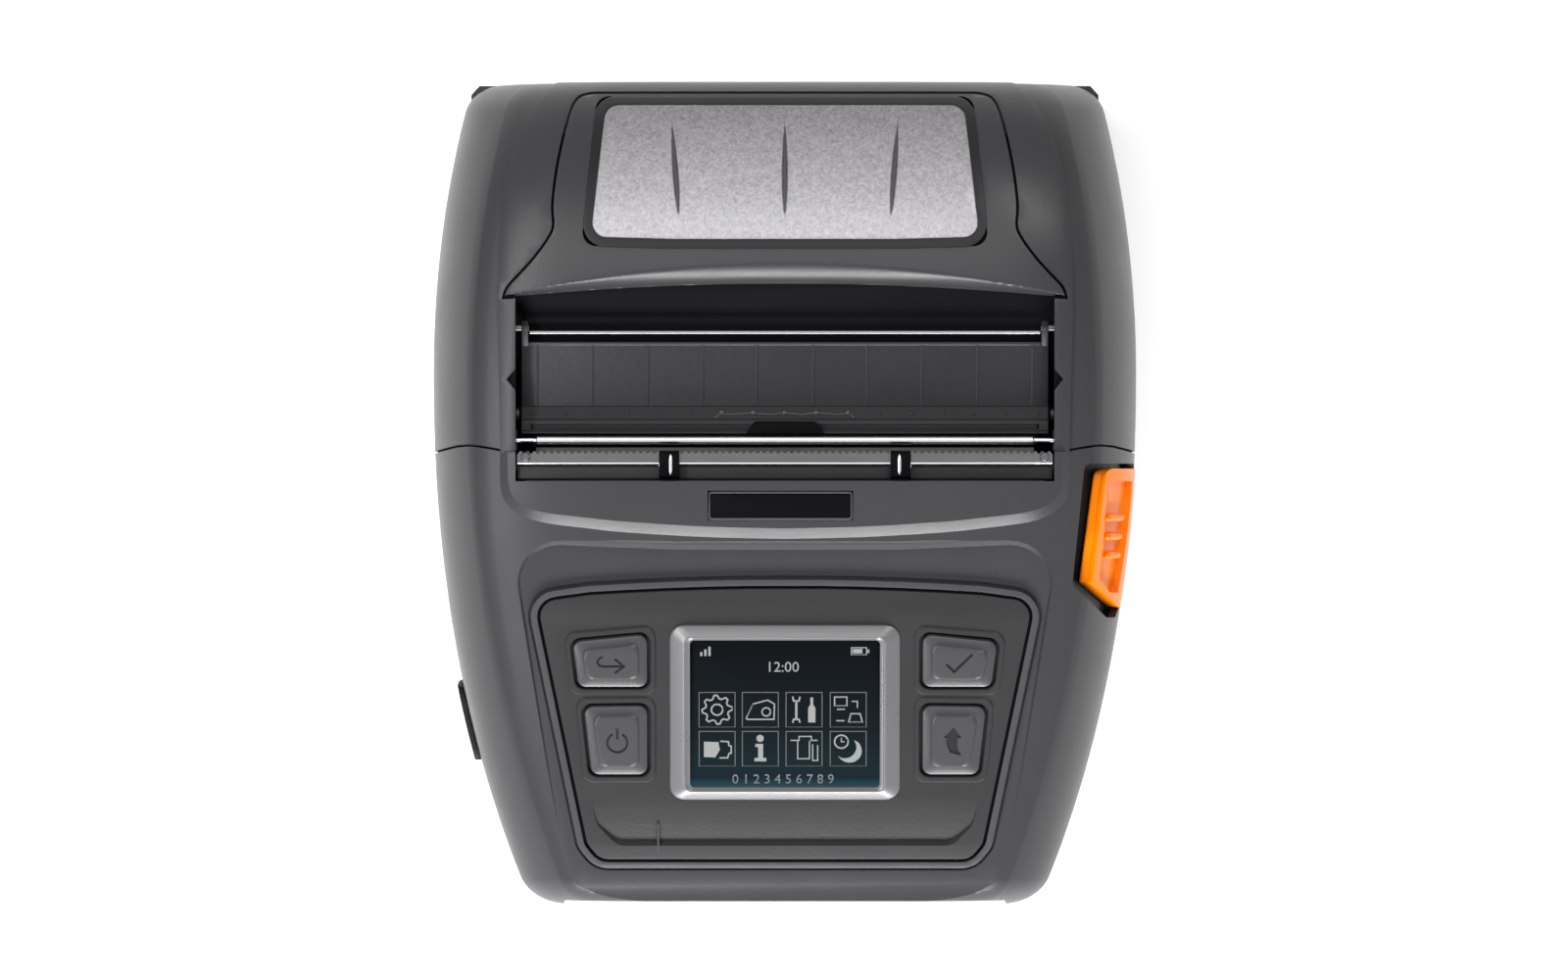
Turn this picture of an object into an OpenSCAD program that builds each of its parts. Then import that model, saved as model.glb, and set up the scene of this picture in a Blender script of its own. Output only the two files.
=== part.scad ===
// Battery label printer lying on its back. +Z is out of its front, +Y is the end with the media roll and
// the cover hinge, +X is the side with the release key. All sizes are in millimetres.

/* [Casings] */
// Width across the widest point
body_w = 155.5; // [150:0.5:190]
// Length from the battery end to the hinge end
body_l = 182; // [178:0.5:222]
// Thickness from the feet to the crown of the cover
body_h = 77; // [76:0.5:94]
// Wall of the casings
wall = 2.4; // [2:0.1:2.9]
// Narrowing of each flank towards the hinge end
top_taper = 9.4; // [6:0.2:11.2]
// Narrowing of each flank towards the battery end
foot_taper = 21.2; // [16:0.2:24]
// Width of the flank band between the outline and the ridge
band_w = 8.5; // [7:0.1:10]
// Radius of the corners seen from the front
corner_r = 8; // [5:0.5:10]
// Slope of the lower front in degrees
panel_tilt = 15; // [12:0.5:18]
// Where the cover meets the front casing, from the middle of the body
split_y = 10.2; // [8:0.2:12]
// Height at which the casings part
split_z = 28.5; // [27:0.5:30]

/* [Media] */
// Widest media
media_w = 112; // [96:1:118]
// Radius of the largest roll
roll_r = 28.5; // [24:0.5:29]
// Wall of the media tray
tray_wall = 1.5; // [1.2:0.1:1.8]
// Travel of each media guide towards the middle
guide_travel = 28; // [20:1:32]

/* [Print mechanism] */
// Radius of the rubber platen roller
platen_r = 7; // [6:0.25:7.5]
// Radius of the platen shaft
platen_shaft_r = 2.5; // [2:0.1:3]
// Radial running clearance of shafts and pins
run_gap = 0.05; // [0.03:0.01:0.09]
// Gap between separate moving bodies
part_gap = 0.4; // [0.3:0.05:0.6]
// Module of the gears
gear_m = 0.8; // [0.7:0.05:0.9]
// Teeth of the platen gear
platen_teeth = 18; // [16:1:20]
// Teeth of the idler gear
idler_teeth = 32; // [30:1:34]
// Teeth of the motor pinion
motor_teeth = 18; // [16:1:20]

/* [Peeler and tear bar] */
// Radius of the bright peel bar
peel_bar_r = 0.9; // [0.7:0.05:1.1]
// Pitch of the tear-bar teeth
tooth_pitch = 1.5; // [1.2:0.1:2]
// Thickness of the peeler door
door_t = 2; // [1.8:0.1:2.4]
// Pitch of the ribs across the peeler door
rib_pitch = 12; // [10:0.5:16]

/* [Panel] */
// Width of the display bezel
bezel_w = 50.6; // [46:0.2:54]
// Height of the display bezel along the slope
bezel_h = 39.9; // [36:0.1:42]
// Width of the display opening
screen_w = 41.7; // [38:0.1:43]
// Height of the display opening along the slope
screen_h = 33.6; // [30:0.1:35]
// Press travel of the buttons
button_travel = 0.8; // [0.5:0.1:1]
// Press travel of the release key
key_travel = 2.5; // [1.5:0.1:3]

/* [Battery and back] */
// Width of the battery pack
battery_w = 51.6; // [46:0.2:56]
// Length of the battery pack
battery_l = 75.8; // [66:0.2:76]
// Thickness of the battery pack
battery_t = 20.8; // [17:0.1:21]
// Width of the belt clip
clip_w = 26; // [20:1:30]
// Length of the belt clip
clip_l = 56; // [44:1:58]

/* [Hidden] */

shell_c = [0.30, 0.30, 0.31];
black_c = [0.10, 0.10, 0.11];
grey_c = [0.38, 0.38, 0.40];
steel_c = [0.75, 0.76, 0.78];

y_top = body_l / 2;
y_bot = -body_l / 2;
wide_y = y_top - 64;
crown_y = y_top - 46;
apron_y = split_y - 19.2;
back_z = 1;
clip_depth = 3.5;
hinge_x = 40;
hinge_y = y_top - 5;
hinge_z = split_z + 5.5;
hinge_pin_r = 1.5;
hinge_pin_half = 10;
post_half = 4;
post_r = 4.9;
knuckle_w = 5.9;
knuckle_r = 4.6;
crown_end_z = hinge_z + 12;
apron_z = body_h - tan(panel_tilt) * (crown_y - apron_y) / 2;
foot_r = 6;
ridge_drop_top = 9;
ridge_drop_low = 6;
end_recess = 1.3;
end_flat_x = half_w(y_bot) - corner_r + 0.5;

slot_half = media_w / 2 + 2.9;
cheek_x = media_w / 2 + 0.4;
cheek_t = 1.8;
hook_x = slot_half - 0.1;
hook_t = 1.6;
plate_x = slot_half + 1.9;
plate_t = 1.6;
gear_x = plate_x + plate_t + 0.8;
gear_w = 3.6;
gear_gap = 0.5;

nip_y = split_y + 0.25;
platen_y = nip_y + 0.15 + platen_r;
platen_z = body_h - 22;
swing = sqrt(pow(hinge_y - platen_y, 2) + pow(platen_z - hinge_z, 2));
lift = [(platen_z - hinge_z) / swing, (hinge_y - platen_y) / swing];
idler_d = gear_m * (platen_teeth + idler_teeth) / 2 + 0.1;
idler_y = platen_y - lift[0] * idler_d;
idler_z = platen_z - lift[1] * idler_d;
idler_pin_r = 2;
mesh_angle = atan2(idler_z - platen_z, idler_y - platen_y);
pinion_d = gear_m * (motor_teeth + idler_teeth) / 2 + 0.1;
pinion_drop = 4;
pinion_y = idler_y - sqrt(pinion_d * pinion_d - pinion_drop * pinion_drop);
pinion_z = idler_z - pinion_drop;
motor_r = 11.8;
motor_l = 20;
motor_shaft_r = 1.5;
latch_y = platen_y - 10.4;
latch_z = platen_z - 17;
latch_r = 2.5;
hook_back = max(latch_y - 3.4, pinion_y + motor_r - 0.1);
frame_z = split_z + 1.5;
head_y = nip_y - 0.15;
head_t = 1.4;
heatsink_t = 3.5;
heatsink_y = head_y - head_t - heatsink_t;

tray_z = back_z + clip_depth + wall + 0.3;
roll_z = tray_z + tray_wall + 1.5 + roll_r;
roll_y = y_top - 40;
tray_r = roll_r + 1.5;
rack_mid_y = roll_y - roll_r - 0.5;
rack_h = 4;
rack_w = 2.2;
rack_pitch = 2.513;
pinion_r = 4;
guide_pin_r = 1.5;
guide_x = media_w / 2 - 1.6;
guide_t = 1.6;
guide_arm = [roll_y - roll_r + 1.5, roll_y - roll_r + 6.1];
slot_in = slot_half - guide_travel - 6;

recess_top = split_y + 36.1;
door_top = split_y + 23.2;
door_low = split_y + 3.1;
recess_z = body_h - 7.5;
door_z = body_h - 11.6;
door_slope = 2.4;
pivot_y = door_top + 3.1;
pivot_z = door_z + 3.2;
peel_y = split_y + 1.7;
peel_z = body_h - 9.8;
roller_y = door_low + 1.6;
roller_z = door_z - door_slope + 1;
roller_r = 1.2;
neck_r = 0.6;
peeler_pin_r = 0.8;
door_half = slot_half - 1.3;
rib_count = floor((door_half - 3) / rib_pitch);

tear_z = body_h - 7.7;
tear_t = 0.7;
tear_half = slot_half - 0.4;
tooth_count = floor(2 * tear_half / tooth_pitch);
tear_screw_x = slot_half - 2.2;
tear_screw_r = 0.7;
pocket_y = split_y - 7.3;
pocket_z = body_h - 13.5;

valley_w = -4.5;
panel_w = -3.2;
panel_t = 2;
seat_w = panel_w - panel_t;
slab_w = seat_w - 2.2;
panel_half = body_w / 2 - 20.5;
panel_top_v = -9.3;
panel_low_v = (y_bot - apron_y) / cos(panel_tilt) + 7.2;
valley_half = panel_half + 2.8;
bezel_v = panel_top_v - 31.75;
board_w = -10.4;
dome_w = board_w + 1.6 + 1.3;
button_x = bezel_w / 2 + 4.9;

battery_end = y_bot + end_recess;
bay_gap = 0.3;
bay_x = battery_w / 2 + bay_gap;
bay_z = back_z + battery_t + bay_gap;
bay_y = battery_end + battery_l + bay_gap;
board_z = bay_z + wall + 0.3;

clip_y = roll_y + 22;
clip_z = back_z + 1.8;
clip_pin_r = 1;

lug_w = 10.2;
lug_z = 11;
lug_t = 15;
lug_x = half_w(y_top) - lug_w + 1.2;
lug_y = y_top - 9.8;

screw_in = 16.75;
screw_spots = [[46, y_bot + 11], [body_w / 2 - screw_in, y_bot + 57]];
screw_r = 1.3;
screw_head_r = 2.8;
boss_r = 3.6;

port_y = y_bot + 40.5;
port_z = 17;
port_x = wall + 4.8 - half_w(port_y);
port_from = port_y - 30;
port_to = port_y + 32;
flap_hinge_y = port_y + 8.4;
flap_hinge_x = -half_w(flap_hinge_y) - 2.2;
flap_edge_r = 1.3;

key_from = split_y - 60;
key_to = split_y + 24;
key_x = half_w(apron_y) - band_w - 3;
key_rib_y = split_y - 15.2;
key_rib_pitch = 4.1;
spring_y = apron_y - 6;
spring_r = 2.4;
spring_z = ridge_z(spring_y) - 13.7;
spring_x = half_w(spring_y - spring_r) - wall - 7;

badge_x = -1;
badge_y = split_y - 12.6;
badge_z = crown_z(badge_y) - 0.6;
badge_w = 31.5;
badge_h = 6.2;
window_from = y_top - 62;

// Half width of the casings at one place along the body
function half_w(y) = body_w / 2 - (y > wide_y ?
    top_taper * pow((y - wide_y) / (y_top - wide_y), 2) :
    foot_taper * pow((wide_y - y) / (wide_y - y_bot), 2));
// How far the rounded corners draw the outline in at the two ends
function end_in(y, r = corner_r) = let (d = max(0, abs(y) - (body_l / 2 - r)))
    r - sqrt(max(0, r * r - d * d));
// Height of the front along the middle: an elliptical roll end, a slow fall and the straight slope
function crown_z(y) =
    y > crown_y ? crown_end_z + (body_h - crown_end_z)
        * sqrt(max(0, 1 - pow((y - crown_y) / (y_top - crown_y), 2))) :
    y > apron_y ? body_h - tan(panel_tilt) * pow(crown_y - y, 2) / (2 * (crown_y - apron_y)) :
    apron_z - tan(panel_tilt) * (apron_y - y) - (y < y_bot + foot_r ? end_in(y, foot_r) : 0);
function ridge_z(y) = crown_z(y) - ridge_drop_low
    - (ridge_drop_top - ridge_drop_low) * min(1, max(0, (y - apron_y) / (crown_y - apron_y)));
// Right half of the cross-section, from the back edge up to the middle of the front
function half_section(y, t) = let (w = half_w(y) - end_in(y) - t, zb = back_z + t,
    zr = ridge_z(y) - t, zc = crown_z(y) - t) [
    [w - 7, zb], [w - 2, zb + 6], [w, zb + (zr - zb) * 0.5], [w - 1.8, zb + (zr - zb) * 0.76],
    [w - band_w, zr], [w - band_w - 6.5, zr + (zc - zr) * 0.42], [w * 0.5, zc - (zc - zr) * 0.06], [0, zc]];
function section(y, t) = let (h = half_section(y, t))
    concat(h, [for (i = [len(h) - 2:-1:0]) [-h[i][0], h[i][1]]]);
stations = concat([for (a = [90:-18:18]) y_bot + corner_r * (1 - sin(a))],
    [for (i = [0:18]) y_bot + corner_r + i * (body_l - 2 * corner_r) / 18],
    [for (a = [18:18:90]) y_top - corner_r * (1 - sin(a))]);

// The whole body as one form, or its stretch between two places along Y, drawn in by t all round
module form(t = 0, from = -body_l, to = body_l) {
    used = [for (y = stations) if (y > from && y < to) y];
    n = len(section(0, t));
    last = (len(used) - 1) * n;
    squeeze = 1 - 2 * t / body_l;
    points = [for (y = used) for (p = section(y, t)) [p[0], y * squeeze, p[1]]];
    sides = [for (i = [0:len(used) - 2], j = [0:n - 1])
        let (a = i * n + j, b = i * n + (j + 1) % n) each [[a, b, b + n], [a, b + n, a + n]]];
    ends = [[for (j = [n - 1:-1:0]) j], [for (j = [0:n - 1]) last + j]];
    polyhedron(points, concat(sides, ends), convexity = 4);
}

function unit(v) = v / norm(v);
// The points of one rounded corner
function corner(a, b, c, r, n) = let (u = unit(a - b), v = unit(c - b), half = acos(u * v) / 2,
    m = b + unit(u + v) * r / sin(half), p = b + u * r / tan(half) - m, q = b + v * r / tan(half) - m,
    a0 = atan2(p[1], p[0]), turn = (atan2(q[1], q[0]) - a0 + 540) % 360 - 180)
    [for (i = [0:n]) m + r * [cos(a0 + turn * i / n), sin(a0 + turn * i / n)]];
// An outline with every corner rounded
function rounded(p, r, n = 4) = let (k = len(p))
    [for (i = [0:k - 1]) each corner(p[(i + k - 1) % k], p[i], p[(i + 1) % k], r, n)];
// A right-hand outline closed by its own mirror image
function both(p) = concat(p, [for (i = [len(p) - 1:-1:0]) [-p[i][0], p[i][1]]]);

// A block given by its low and high corner
module block(lo, hi) translate(lo) cube(hi - lo);
// A rod along X
module rod(x0, x1, y, z, r, fn = 48) translate([x0, y, z]) rotate([0, 90, 0])
    cylinder(h = x1 - x0, r = r, $fn = fn);
// A plate across X from an outline in Y and Z
module across(x0, x1, outline) translate([x0, 0, 0]) rotate([90, 0, 90])
    linear_extrude(x1 - x0) polygon(outline);
module both_sides() {
    children();
    mirror([1, 0, 0]) children();
}
// The tilted frame of the lower front: its Z is the slope's normal
module on_slope() translate([0, apron_y, apron_z]) rotate([panel_tilt, 0, 0]) children();
// A layer of the slope from w0 to w1
module layer(w0, w1, outline) translate([0, 0, w0]) linear_extrude(w1 - w0) polygon(outline);
// A toothed wheel across X with trapezoid teeth
module gear(x0, x1, y, z, teeth, bore, phase = 0) {
    r = gear_m * teeth / 2;
    step = 360 / teeth;
    outline = [for (i = [0:teeth - 1]) for (p = [[-0.36, -1.15], [-0.13, 0.85], [0.13, 0.85], [0.36, -1.15]])
        let (a = (i + phase + p[0]) * step, q = r + gear_m * p[1]) [q * cos(a), q * sin(a)]];
    difference() {
        translate([x0, y, z]) rotate([90, 0, 90]) linear_extrude(x1 - x0) polygon(outline);
        rod(x0 - 1, x1 + 1, y, z, bore);
    }
}

panel_outline = both([[panel_half - 14.9, panel_low_v], [panel_half - 11, panel_low_v + 4.6],
    [panel_half, panel_top_v - 12], [panel_half - 5.6, panel_top_v - 2.4], [24, panel_top_v - 0.3]]);
valley_outline = both([[valley_half - 14, panel_low_v - 20], [valley_half - 11, panel_low_v + 4.6],
    [valley_half, panel_top_v - 9], [valley_half - 5.3, panel_top_v + 6.4], [24, panel_top_v + 4.9]]);
// The panel's outlines drawn in by d
function shrink(p, d) = [for (q = p) [q[0] - sign(q[0]) * d, q[1] - sign(q[1] - bezel_v) * d]];

key_outline = [[split_y - 4.5, split_z + 9.5], [split_y - 4.5, ridge_z(split_y - 4.5) + 0.9],
    [split_y - 30.8, ridge_z(split_y - 30.8) + 0.5], [split_y - 36.2, split_z + 22],
    [split_y - 36.2, split_z + 13], [split_y - 33.5, split_z + 9.5]];
// The key's outline drawn out by d
function grow(p, d) = let (c = [split_y - 20, split_z + 23])
    [for (q = p) q + d * [sign(q[0] - c[0]), sign(q[1] - c[1])]];

module rear_shell() color(shell_c) difference() {
    union() {
        intersection() {
            difference() {
                form();
                form(wall);
            }
            block([-body_w, y_bot - 1, -1], [body_w, y_top + 1, split_z]);
        }
        intersection() {
            form(0.2);
            union() {
                block([-bay_x - wall, y_bot, back_z + 0.2], [bay_x + wall, bay_y + wall, bay_z + wall]);
                block([-clip_w / 2 - 5, clip_y - clip_l - 5, back_z + 0.2],
                    [clip_w / 2 + 5, clip_y + 5, back_z + clip_depth + wall]);
                block([-12, bay_y, back_z + 0.2], [12, bay_y + 12, back_z + 6.5]);
                both_sides()
                    block([plate_x, latch_y - 8, back_z + 1], [plate_x + plate_t + 0.4, latch_y + 6, frame_z]);
            }
        }
        both_sides() {
            block([hinge_x - post_half, hinge_y - knuckle_r, split_z - 8],
                [hinge_x + post_half, y_top - 0.5, hinge_z]);
            rod(hinge_x - post_half, hinge_x + post_half, hinge_y, hinge_z, post_r);
            for (s = screw_spots) translate([s[0], s[1], back_z + 0.5])
                cylinder(h = split_z - back_z - 0.5, r = boss_r, $fn = 40);
        }
        translate([0, rack_mid_y, back_z + 1]) {
            cylinder(h = tray_z - back_z - 1, r = 2.6, $fn = 40);
            cylinder(h = tray_z - back_z + rack_h - 0.8, r = guide_pin_r, $fn = 40);
        }
    }
    block([-bay_x, y_bot - 1, -1], [bay_x, bay_y, bay_z]);
    block([-clip_w / 2 - 1, clip_y - clip_l - 1.5, -1], [clip_w / 2 + 1, clip_y + 3.2, back_z + clip_depth]);
    block([-9.4, bay_y - 1, -1], [9.4, bay_y + 10, back_z + 3.1]);
    block([-end_flat_x, y_bot - 1, -1], [end_flat_x, y_bot + end_recess, split_z + 1]);
    block([-body_w, port_y - 5.8, port_z - 7], [-half_w(port_y) + 6, port_y + 5.4, port_z + 7]);
    both_sides() {
        rod(hinge_x - hinge_pin_half, hinge_x + hinge_pin_half, hinge_y, hinge_z, hinge_pin_r);
        for (s = screw_spots) translate([s[0], s[1], -1]) {
            cylinder(h = 6, r = screw_head_r + 0.2, $fn = 40);
            cylinder(h = split_z + 5, r = screw_r + 0.4, $fn = 40);
        }
        block([lug_x - 0.1, lug_y - 0.1, lug_z - 0.1], [body_w, body_l, lug_z + lug_t + 0.1]);
        rod(-clip_w / 2 - 4, clip_w / 2 + 4, clip_y, clip_z, clip_pin_r);
    }
}

module front_shell() color(shell_c) difference() {
    union() {
        intersection() {
            difference() {
                form();
                form(wall);
            }
            block([-body_w, y_bot - 1, split_z], [body_w, split_y, body_h + 1]);
        }
        intersection() {
            form(0.2);
            union() {
                on_slope() layer(slab_w, 1, valley_outline);
                block([-slot_half - 2, pocket_y - 2, pocket_z - 2], [slot_half + 2, split_y, body_h]);
            }
        }
        intersection() {
            form(wall / 2);
            both_sides() for (s = screw_spots) translate([s[0], s[1], split_z])
                cylinder(h = body_h, r = boss_r - 0.2, $fn = 40);
        }
    }
    on_slope() {
        layer(valley_w, 30, valley_outline);
        layer(seat_w, 30, rounded(panel_outline, 3));
        layer(slab_w - 20, 30, rounded(shrink(panel_outline, 3), 3));
    }
    block([-slot_half, pocket_y, tear_z - 1.6], [slot_half, split_y + 1, body_h + 1]);
    block([-slot_half, pocket_y + 3.6, pocket_z], [slot_half, split_y + 1, body_h]);
    block([-cheek_x - 0.4, pocket_y + 2, pocket_z - 9], [cheek_x + 0.4, split_y + 1, pocket_z + 1]);
    block([-end_flat_x, y_bot - 1, split_z - 1], [end_flat_x, y_bot + end_recess, body_h]);
    across(half_w(apron_y) - band_w - 6 - key_travel, body_w, grow(key_outline, 1.2));
    block([badge_x - badge_w / 2 - 0.15, badge_y - badge_h / 2 - 0.1, badge_z - 0.9],
        [badge_x + badge_w / 2 + 0.15, badge_y + badge_h / 2 + 0.1, body_h]);
    both_sides() for (s = screw_spots) translate([s[0], s[1], split_z - 1])
        cylinder(h = 14, r = screw_r, $fn = 40);
}

module badge_plate() color(black_c) translate([badge_x, badge_y, badge_z - 0.8])
    linear_extrude(1) polygon(rounded(rect(badge_w / 2, badge_h / 2, 0), 0.6));

// Plan outline of the window at a distance d outside the lens
function window_outline(d) = both([[39.2 + d, y_top - 5.6 + d], [42.6 + d, y_top - 29.6],
    [41 + d, y_top - 34 - d], [33, y_top - 35 - d]]);

module media_cover() color(shell_c) difference() {
    union() {
        intersection() {
            difference() {
                form();
                form(wall);
            }
            block([-body_w, split_y + part_gap / 2, split_z + part_gap], [body_w, y_top + 1, body_h + 1]);
        }
        intersection() {
            form(0.2);
            across(-slot_half - 2, slot_half + 2, [[split_y + part_gap / 2, platen_z + platen_r],
                [door_top - 7, platen_z + platen_r], [door_top - 6.9, door_z - 4.3], [door_top, door_z - 2.2],
                [recess_top, recess_z - 1.6], [recess_top + 2, recess_z - 1], [recess_top + 2, body_h + 1],
                [split_y + part_gap / 2, body_h + 1]]);
        }
        both_sides() for (x = [hinge_x - post_half - 0.3 - knuckle_w, hinge_x + post_half + 0.3]) {
            rod(x, x + knuckle_w, hinge_y, hinge_z, knuckle_r);
            intersection() {
                form(0.3, y_top - 24);
                block([x, hinge_y - 1, hinge_z], [x + knuckle_w, y_top, hinge_z + 9]);
            }
        }
    }
    across(-slot_half, slot_half, [[split_y - 1, platen_z - 5], [door_top - 6.9, platen_z - 5],
        [door_top - 6.9, door_z - 2.8], [door_top, door_z - 0.7], [recess_top, recess_z],
        [recess_top, body_h + 5], [split_y - 1, body_h + 5]]);
    translate([0, 0, split_z + 10]) linear_extrude(body_h) polygon(rounded(window_outline(2), 3));
    both_sides() {
        block([hinge_x - post_half - 0.3, hinge_y - 7, split_z - 1],
            [hinge_x + post_half + 0.3, y_top + 1, hinge_z + 6.6]);
        rod(hinge_x - 11, hinge_x + 11, hinge_y, hinge_z, hinge_pin_r + run_gap);
    }
    difference() {
        block([-body_w, hinge_y, split_z - 1], [body_w, y_top + 1, hinge_z]);
        rod(-body_w, body_w, hinge_y, hinge_z, post_r, 64);
    }
    rod(-gear_x - gear_w - gear_gap, -gear_x + gear_gap, platen_y, platen_z,
        gear_m * (platen_teeth / 2 + 0.85) + gear_gap, 64);
    both_sides() {
        rod(slot_half - 1, slot_half + 1, peel_y, peel_z, neck_r);
        rod(slot_half - 1, slot_half + 1, pivot_y, pivot_z, peeler_pin_r + run_gap);
    }
}

module window_seal() color(black_c) difference() {
    intersection() {
        form(-0.3, window_from);
        translate([0, 0, split_z + 10]) linear_extrude(body_h) polygon(rounded(window_outline(1.95), 3));
    }
    form(wall - 0.4, window_from);
    translate([0, 0, split_z]) linear_extrude(body_h) polygon(rounded(window_outline(0.1), 2));
}

module window_lens() color([0.62, 0.58, 0.58]) difference() {
    intersection() {
        form(0.2, window_from);
        translate([0, 0, split_z + 10]) linear_extrude(body_h) polygon(rounded(window_outline(0.05), 2));
    }
    form(wall - 0.5, window_from);
}

module cover_liner() color(black_c) {
    both_sides() difference() {
        across(cheek_x, cheek_x + cheek_t, [[platen_y - 5, platen_z - 6], [platen_y + 6, platen_z - 6],
            [recess_top - 6, recess_z - 16], [recess_top - 0.5, recess_z - 6],
            [recess_top - 0.5, recess_z - 1.9], [door_top, door_z - 2.5],
            [door_top - 6.7, door_z - 4.7], [door_top - 7, platen_z + 6.4], [platen_y - 5, platen_z + 6.4]]);
        rod(cheek_x - 1, cheek_x + cheek_t + 1, platen_y, platen_z, 4);
    }
    rod(-cheek_x, cheek_x, recess_top - 3, recess_z - 5, 1.4);
}

module platen_bushes() color(steel_c) both_sides() difference() {
    union() {
        rod(cheek_x - 0.35, cheek_x, platen_y, platen_z, 4.8);
        rod(cheek_x, cheek_x + cheek_t + 0.1, platen_y, platen_z, 4);
    }
    rod(cheek_x - 1, cheek_x + cheek_t + 1, platen_y, platen_z, platen_shaft_r + run_gap);
}

module platen_shaft() color(steel_c)
    rod(-gear_x - gear_w - 0.6, plate_x + plate_t + 1, platen_y, platen_z, platen_shaft_r);

module platen_roller() color(black_c) difference() {
    rod(-media_w / 2 + 0.5, media_w / 2 - 0.5, platen_y, platen_z, platen_r, 64);
    rod(-media_w, media_w, platen_y, platen_z, platen_shaft_r);
}

module platen_gear() color("ivory")
    gear(-gear_x - gear_w, -gear_x, platen_y, platen_z, platen_teeth, platen_shaft_r,
        phase = 0.5 + mesh_angle * platen_teeth / 360);

module idler_gear() color("ivory")
    gear(-gear_x - gear_w, -gear_x, idler_y, idler_z, idler_teeth, idler_pin_r + run_gap,
        phase = (mesh_angle + 180) * idler_teeth / 360);

module idler_pin() color(steel_c) {
    rod(-gear_x - gear_w - 1.2, -plate_x, idler_y, idler_z, idler_pin_r);
    rod(-gear_x - gear_w - 1.2, -gear_x - gear_w - 0.3, idler_y, idler_z, idler_pin_r + 1);
}

module motor_pinion() color("ivory") {
    turn = atan2(idler_z - pinion_z, idler_y - pinion_y);
    facing = (turn - mesh_angle) * idler_teeth / 360;
    gear(-gear_x - gear_w, -gear_x, pinion_y, pinion_z, motor_teeth, motor_shaft_r,
        phase = turn * motor_teeth / 360 + 0.5 + facing);
    rod(-gear_x - gear_w, -plate_x + 1, pinion_y, pinion_z, motor_shaft_r);
}

module drive_motor() color(steel_c) difference() {
    union() {
        rod(-plate_x, -plate_x + motor_l, pinion_y, pinion_z, motor_r, 64);
        rod(-plate_x + motor_l, -plate_x + motor_l + 1.4, pinion_y, pinion_z, 4);
    }
    rod(-plate_x - 1, -plate_x + 2, pinion_y, pinion_z, motor_shaft_r + run_gap);
}

module hinge_pins() color(steel_c) both_sides()
    rod(hinge_x - hinge_pin_half, hinge_x + hinge_pin_half, hinge_y, hinge_z, hinge_pin_r);

module peel_bar() color([0.9, 0.9, 0.92]) {
    rod(-slot_half + 4.7, slot_half - 4.7, peel_y, peel_z, peel_bar_r);
    rod(-slot_half - 1, slot_half + 1, peel_y, peel_z, neck_r);
}

module peeler_door() color([0.16, 0.16, 0.17]) difference() {
    union() {
        across(-door_half, door_half, [[door_low, door_z - door_slope],
            [door_low + 4, door_z - door_slope + 0.3], [door_top, door_z],
            [door_top, door_z + door_t], [door_low + 4, door_z - door_slope + door_t + 0.3],
            [door_low + 3.6, door_z - door_slope + 3.4], [door_low, door_z - door_slope + 3.2]]);
        for (i = [-rib_count:rib_count]) across(i * rib_pitch - 0.3, i * rib_pitch + 0.3,
            [[door_top - 14, door_z + door_t - 1.7], [door_top, door_z + door_t - 0.3],
            [door_top, door_z + door_t + 0.3], [door_top - 14, door_z + door_t - 1.1]]);
        both_sides() across(door_half - 1.6, door_half, [[door_top - 1, door_z], [pivot_y, pivot_z - 1.6],
            [pivot_y + 1.6, pivot_z], [pivot_y, pivot_z + 1.6], [door_top - 1, door_z + door_t]]);
        across(-8.6, 8.6, [[door_low - 0.2, door_z - door_slope + 3], [door_low + 2.6, door_z - door_slope + 3],
            [door_low + 2.6, door_z - door_slope + 4.2], [door_low - 0.2, door_z - door_slope + 4.2]]);
    }
    rod(-door_half + 2, door_half - 2, roller_y, roller_z, roller_r + 0.3);
    rod(-door_half - 1, door_half + 1, roller_y, roller_z, neck_r + run_gap);
    rod(-body_w, body_w, pivot_y, pivot_z, peeler_pin_r);
}

module peel_roller() color([0.2, 0.2, 0.2]) {
    rod(-door_half + 2.4, door_half - 2.4, roller_y, roller_z, roller_r);
    rod(-door_half + 0.2, door_half - 0.2, roller_y, roller_z, neck_r);
}

module peeler_pins() color(steel_c) both_sides()
    rod(door_half - 1.6, slot_half + 0.8, pivot_y, pivot_z, peeler_pin_r);

module tear_bar() color(steel_c) difference() {
    union() {
        translate([0, 0, tear_z]) linear_extrude(tear_t) polygon(concat(
            [[tear_half, split_y - 3.6], [-tear_half, split_y - 3.6]],
            [for (i = [0:tooth_count - 1]) for (p = [[0, 0], [0.5, 0.8]])
                [-tooth_count * tooth_pitch / 2 + (i + p[0]) * tooth_pitch, split_y - 1.3 + p[1]]],
            [[tear_half, split_y - 1.3]]));
        block([-tear_half, split_y - 3.6, pocket_z + 0.1], [tear_half, split_y - 3, tear_z + 0.2]);
    }
    both_sides() translate([tear_screw_x, split_y - 1.9, tear_z - 1])
        cylinder(h = 3, r = tear_screw_r, $fn = 24);
}

module tear_bar_screws() color(steel_c) both_sides() translate([tear_screw_x, split_y - 1.9, tear_z]) {
    translate([0, 0, tear_t]) cylinder(h = 0.7, r = tear_screw_r * 1.5, $fn = 24);
    cylinder(h = tear_t, r = tear_screw_r, $fn = 24);
}

module tear_bar_clips() color(black_c) both_sides() {
    block([22.6, pocket_y + 0.5, tear_z + tear_t], [27.9, split_y - 0.6, tear_z + tear_t + 1.2]);
    block([22.6, pocket_y + 0.5, tear_z - 1.6], [27.9, pocket_y + 3.4, tear_z + tear_t + 0.5]);
}

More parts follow.
